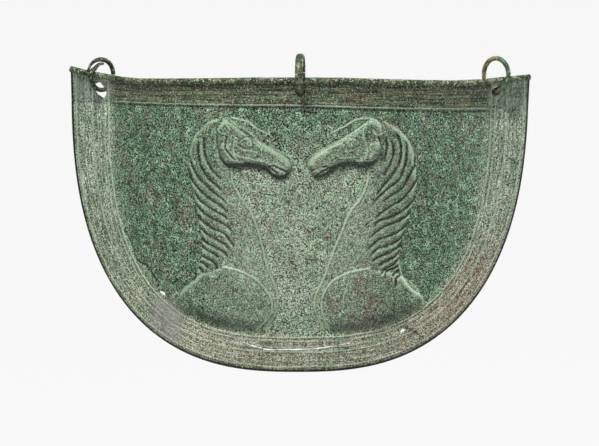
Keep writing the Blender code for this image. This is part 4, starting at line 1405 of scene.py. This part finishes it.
class BELLYGUARD_OT_rings(bpy.types.Operator):
    """Bend the three wire rings and hang them in their holes"""

    bl_idname = "bellyguard.rings"
    bl_label = "Wire rings"

    def execute(self, context):
        looks = context.scene.bellyguard_rings
        finishes = {
            "ring_left": wire_patina("ring_left_patina", tuple(looks.left_colour), tone(78, 100, 74),
                                     tone(22, 30, 20), tone(150, 84, 34), 0.5),
            "ring_centre": wire_patina("ring_centre_patina", tuple(looks.centre_colour), tone(118, 126, 102),
                                       tone(26, 36, 26), tone(130, 72, 54), 0.7),
            "ring_right": wire_patina("ring_right_patina", tuple(looks.right_colour), tone(180, 168, 134),
                                      tone(48, 84, 62), tone(140, 84, 48), 0.8, 0.1028),
        }
        jig = wire_jig()
        for name, size in RINGS.items():
            points, shares = parted_ring(size) if name == "ring_left" else whole_ring(size)
            turn = ring_turn(name)
            path = path_object(f"{name}_path", [tuple(turn @ p) for p in points], shares,
                               closed=name != "ring_left")
            breadth = CENTRE_WIRE_BREADTH if name == "ring_centre" else 1.0
            section = round_section(f"{name}_section", size["wire_radius"], breadth)
            wire = jig.make(f"{name}_wire", {
                "Path": path, "Section": section, "Spacing": 0.0003, "Dent depth": looks.dent_depth,
                "Dent size": looks.dent_size, "Seed": 7.0 + size["side"], "Finish": finishes[name],
            }, (path, section))
            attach(wire, {"ring_left": "left_ring", "ring_centre": "centre_ring",
                           "ring_right": "right_ring"}[name])
            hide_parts(name)
        return {"FINISHED"}


def crust_and_shade_mesh(name, radius, thickness, seed):
    """A rough dark lens on a ring's wire in its hole: partly a clump of corrosion, partly painted shade that
    fills the hole.
    """
    hole, normal = ring_hole(name)
    turn = normal.to_track_quat("Z", "Y").to_matrix()
    around, steps = 30, 6
    places = [(0.0, 0.0, thickness), (0.0, 0.0, -thickness)]
    for side in (1.0, -1.0):
        for step in range(1, steps + (1 if side > 0 else 0)):
            lift = 0.5 * math.pi * step / steps
            for index in range(around):
                angle = 2.0 * math.pi * index / around
                reach = radius * math.sin(lift)
                spot = Vector((math.cos(angle), math.sin(angle), 0.0)) * 2.0
                rough = noise.noise(spot + Vector((seed, lift, 0.0)))
                height = side * thickness * (math.cos(lift) + 0.5 * rough * math.sin(2.0 * lift))
                places.append((reach * math.cos(angle), reach * math.sin(angle), height))
    faces = []
    upper = [2 + around * step for step in range(steps)]
    lower = [2 + around * (steps + step) for step in range(steps - 1)] + [upper[-1]]
    for index in range(around):
        after = (index + 1) % around
        faces.append((0, upper[0] + index, upper[0] + after))
        faces.append((1, lower[0] + after, lower[0] + index))
        for near, far in zip(upper[:-1], upper[1:]):
            faces.append((near + index, far + index, far + after, near + after))
        for near, far in zip(lower[:-1], lower[1:]):
            faces.append((near + after, far + after, far + index, near + index))
    mesh = mesh_from(f"{name}_crust", [tuple(hole + turn @ Vector(place)) for place in places], faces)
    mesh.shade_smooth()
    return mesh


class BELLYGUARD_OT_crust_and_shade(bpy.types.Operator):
    """Fill the centre and right holes with the dark crust that holds the rings: partly corrosion, partly
    painted shade in the holes
    """

    bl_idname = "bellyguard.crust"
    bl_label = "Crust in the holes"

    def execute(self, context):
        # Near-black colours: partly corrosion, partly painted shade standing in for the holes' shadow
        finish = wire_patina("crust_patina", tone(34, 42, 30), tone(60, 70, 52), tone(14, 18, 12),
                             tone(110, 64, 40), 0.6)
        for name, body, seed in (("ring_centre", "centre_ring", 1.3), ("ring_right", "right_ring", 4.1)):
            crust = add_piece(f"{name}_crust", crust_and_shade_mesh(name, CRUST_AND_SHADE_RADIUS, CRUST_AND_SHADE_THICKNESS, seed))
            crust.data.materials.append(finish)
            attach(crust, body)
            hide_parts(name)
        return {"FINISHED"}


def grain_jig():
    """Geometry nodes that strew flat grains of corrosion over the sheet's front."""
    jig = Jig("strewn_grains")
    jig.ask("Sheet", "NodeSocketObject")
    jig.ask("Grains per square metre", "NodeSocketFloat", 60000.0)
    jig.ask("Smallest", "NodeSocketFloat", 0.00012)
    jig.ask("Largest", "NodeSocketFloat", 0.0004)
    jig.ask("Seed", "NodeSocketInt", 5)
    jig.ask("Finish", "NodeSocketMaterial")
    jig.begin()
    given = jig.inputs.outputs
    sheet = jig.node("GeometryNodeObjectInfo", sockets={"Object": given["Sheet"]})
    back = jig.node("GeometryNodeInputNamedAttribute", {"data_type": "FLOAT"}, {"Name": "back"})
    front = jig.node("ShaderNodeMath", {"operation": "LESS_THAN"}, {0: back.outputs["Attribute"], 1: 0.1})
    spots = jig.node("GeometryNodeDistributePointsOnFaces", {"distribute_method": "RANDOM"}, {
        "Mesh": sheet.outputs["Geometry"], "Selection": front.outputs[0],
        "Density": given["Grains per square metre"], "Seed": given["Seed"]})
    size = jig.node("FunctionNodeRandomValue", {"data_type": "FLOAT"}, {
        2: given["Smallest"], 3: given["Largest"], "Seed": given["Seed"]})
    flat = jig.node("ShaderNodeVectorMath", {"operation": "SCALE"}, {
        0: (1.0, 0.8, 0.35), "Scale": size.outputs[1]})
    grain = jig.node("GeometryNodeMeshIcoSphere", sockets={"Radius": 1.0, "Subdivisions": 1})
    laid = jig.node("GeometryNodeInstanceOnPoints", sockets={
        "Points": spots.outputs["Points"], "Instance": grain.outputs[0],
        "Rotation": spots.outputs["Rotation"], "Scale": flat.outputs[0]})
    jig.end(laid.outputs[0])
    return jig


def grain_patina():
    """Mint, cream and rust grains of corrosion."""
    bench = Bench("grain_patina")
    where = bench.place()
    colour = bench.blend(bench.eased(bench.grain(where, 260.0, 1.0), 0.45, 0.55),
                         tone(170, 196, 164), tone(206, 206, 180))
    colour = bench.blend(bench.eased(bench.grain(where, 330.0, 1.0), 0.52, 0.56), colour, tone(116, 62, 46))
    colour = bench.blend(bench.eased(bench.grain(where, 410.0, 1.0), 0.54, 0.58), colour, tone(34, 46, 30))
    return bench.finish(colour, 0.7, bench.grain(where, 1500.0, 1.0), 0.0001)


class BELLYGUARD_OT_grains(bpy.types.Operator):
    """Strew flat grains of corrosion over the front of the sheet"""

    bl_idname = "bellyguard.grains"
    bl_label = "Corrosion grains"

    def execute(self, context):
        sizes = context.scene.bellyguard_sheet
        jig = grain_jig()
        grains = jig.make("corrosion_grains", {
            "Sheet": bpy.data.objects["hammered_plate"], "Grains per square metre": sizes.grains,
            "Smallest": 0.00012, "Largest": 0.00042, "Seed": 5, "Finish": grain_patina()})
        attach(grains, "plate")
        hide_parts("belly_plate")
        return {"FINISHED"}


class BELLYGUARD_OT_stage(bpy.types.Operator):
    """Set the pale floor, the soft lights and the camera"""

    bl_idname = "bellyguard.stage"
    bl_label = "Stage"

    def execute(self, context):
        stage = context.scene.bellyguard_stage
        profile = [(-4.0, 0.0), (2.2, 0.0)]
        for step in range(1, 13):
            angle = 0.5 * math.pi * step / 12
            profile.append((2.2 + 1.2 * math.sin(angle), 1.2 - 1.2 * math.cos(angle)))
        profile.append((3.4, 5.0))
        places, faces = [], []
        for y, z in profile:
            places += [(-5.0, y, z - stage.floor_drop), (5.0, y, z - stage.floor_drop)]
        for index in range(len(profile) - 1):
            faces.append((2 * index, 2 * index + 1, 2 * index + 3, 2 * index + 2))
        floor = add_piece("studio_sweep", mesh_from("studio_sweep", places, faces))
        floor.data.shade_smooth()
        bench = Bench("studio_paper")
        spread = bench.node("ShaderNodeVectorMath", {"operation": "LENGTH"},
                            {0: bench.place((1.0, 1.0, 0.0))}, output="Value")
        away = bench.eased(spread, 0.5, 1.4)
        seen = bench.node("ShaderNodeLightPath", output="Is Camera Ray")
        glow = bench.blend(away * seen, tone(96, 96, 96), tone(246, 246, 246))
        paper_tone = bench.blend(away, tone(200, 200, 200), tone(20, 20, 20))
        paper = bench.node("ShaderNodeBsdfPrincipled", sockets={
            "Base Color": paper_tone, "Emission Color": glow, "Roughness": 0.9, "Emission Strength": 1.0})
        floor.data.materials.append(bench.worn_by(paper))

        world = bpy.data.worlds.new("studio_air")
        world.use_nodes = True
        air = world.node_tree
        seen = add_node(air, "ShaderNodeLightPath")
        strength = add_node(air, "ShaderNodeMapRange", sockets={
            "Value": seen.outputs["Is Camera Ray"], "To Min": stage.air_light, "To Max": 0.92})
        air.nodes["Background"].inputs["Color"].default_value = (1.0, 1.0, 1.0, 1.0)
        air.links.new(strength.outputs[0], air.nodes["Background"].inputs["Strength"])
        context.scene.world = world
        aim = Vector((0.0, OFFSET_Y, -0.08))
        for name, place, size, power in (
            ("key_light", (-0.55, -1.35, 2.0), 0.5, stage.key_power),
            ("fill_light", (0.9, -2.0, 0.6), 1.2, 5.0),
            ("back_light", (1.9, 0.75, 0.7), 0.5, 40.0),
        ):
            light = bpy.data.lights.new(name, "AREA")
            light.shape = "SQUARE"
            light.size = size
            light.energy = power
            lamp = add_piece(name, light)
            lamp.location = place
            lamp.rotation_euler = (aim - Vector(place)).to_track_quat("-Z", "Y").to_euler()

        eye = bpy.data.cameras.new("photo_camera")
        eye.sensor_width = 36.0
        eye.lens = 36.0 * FOCAL_LENGTH / PICTURE_WIDTH
        eye.clip_start = 0.05
        eye.clip_end = 50.0
        camera = add_piece("photo_camera", eye)
        camera.location = (0.0, OFFSET_Y - stage.distance * math.cos(stage.elevation),
                           OFFSET_Z + stage.distance * math.sin(stage.elevation))
        down = stage.elevation + math.atan(AIM_BELOW / FOCAL_LENGTH)
        camera.rotation_euler = (math.pi / 2 - down, 0.0, math.atan(AIM_ASIDE / FOCAL_LENGTH))
        context.scene.camera = camera
        context.scene.view_settings.view_transform = "Standard"
        return {"FINISHED"}


class BELLYGUARD_PT_parts(bpy.types.Panel):
    """Lists the makers of the belly guard's pieces"""

    bl_idname = "BELLYGUARD_PT_parts"
    bl_label = "Bronze belly guard"
    bl_space_type = "VIEW_3D"
    bl_region_type = "UI"
    bl_category = "Belly guard"

    def draw(self, context):
        for group in ("bellyguard_sheet", "bellyguard_rings", "bellyguard_stage"):
            settings = getattr(context.scene, group)
            for key in settings.__annotations__:
                self.layout.prop(settings, key)
        for maker in MAKERS:
            self.layout.operator(maker.bl_idname)


SETTINGS = {
    "bellyguard_sheet": BellyGuardSheet,
    "bellyguard_rings": BellyGuardRings,
    "bellyguard_stage": BellyGuardStage,
}
MAKERS = (BELLYGUARD_OT_plate, BELLYGUARD_OT_grains, BELLYGUARD_OT_rim, BELLYGUARD_OT_rings,
          BELLYGUARD_OT_crust_and_shade, BELLYGUARD_OT_stage)
CLASSES = (*SETTINGS.values(), *MAKERS, BELLYGUARD_PT_parts)


def register():
    """Make the settings, makers and panel known."""
    for kind in CLASSES:
        bpy.utils.register_class(kind)
    for key, kind in SETTINGS.items():
        setattr(bpy.types.Scene, key, bpy.props.PointerProperty(type=kind))


def unregister():
    """Take the settings, makers and panel away."""
    for key in SETTINGS:
        delattr(bpy.types.Scene, key)
    for kind in reversed(CLASSES):
        bpy.utils.unregister_class(kind)


def main():
    """Make every piece in order."""
    register()
    bpy.ops.bellyguard.plate()
    bpy.ops.bellyguard.grains()
    bpy.ops.bellyguard.rim()
    bpy.ops.bellyguard.rings()
    bpy.ops.bellyguard.crust()
    bpy.ops.bellyguard.stage()


if __name__ == "__main__":
    main()
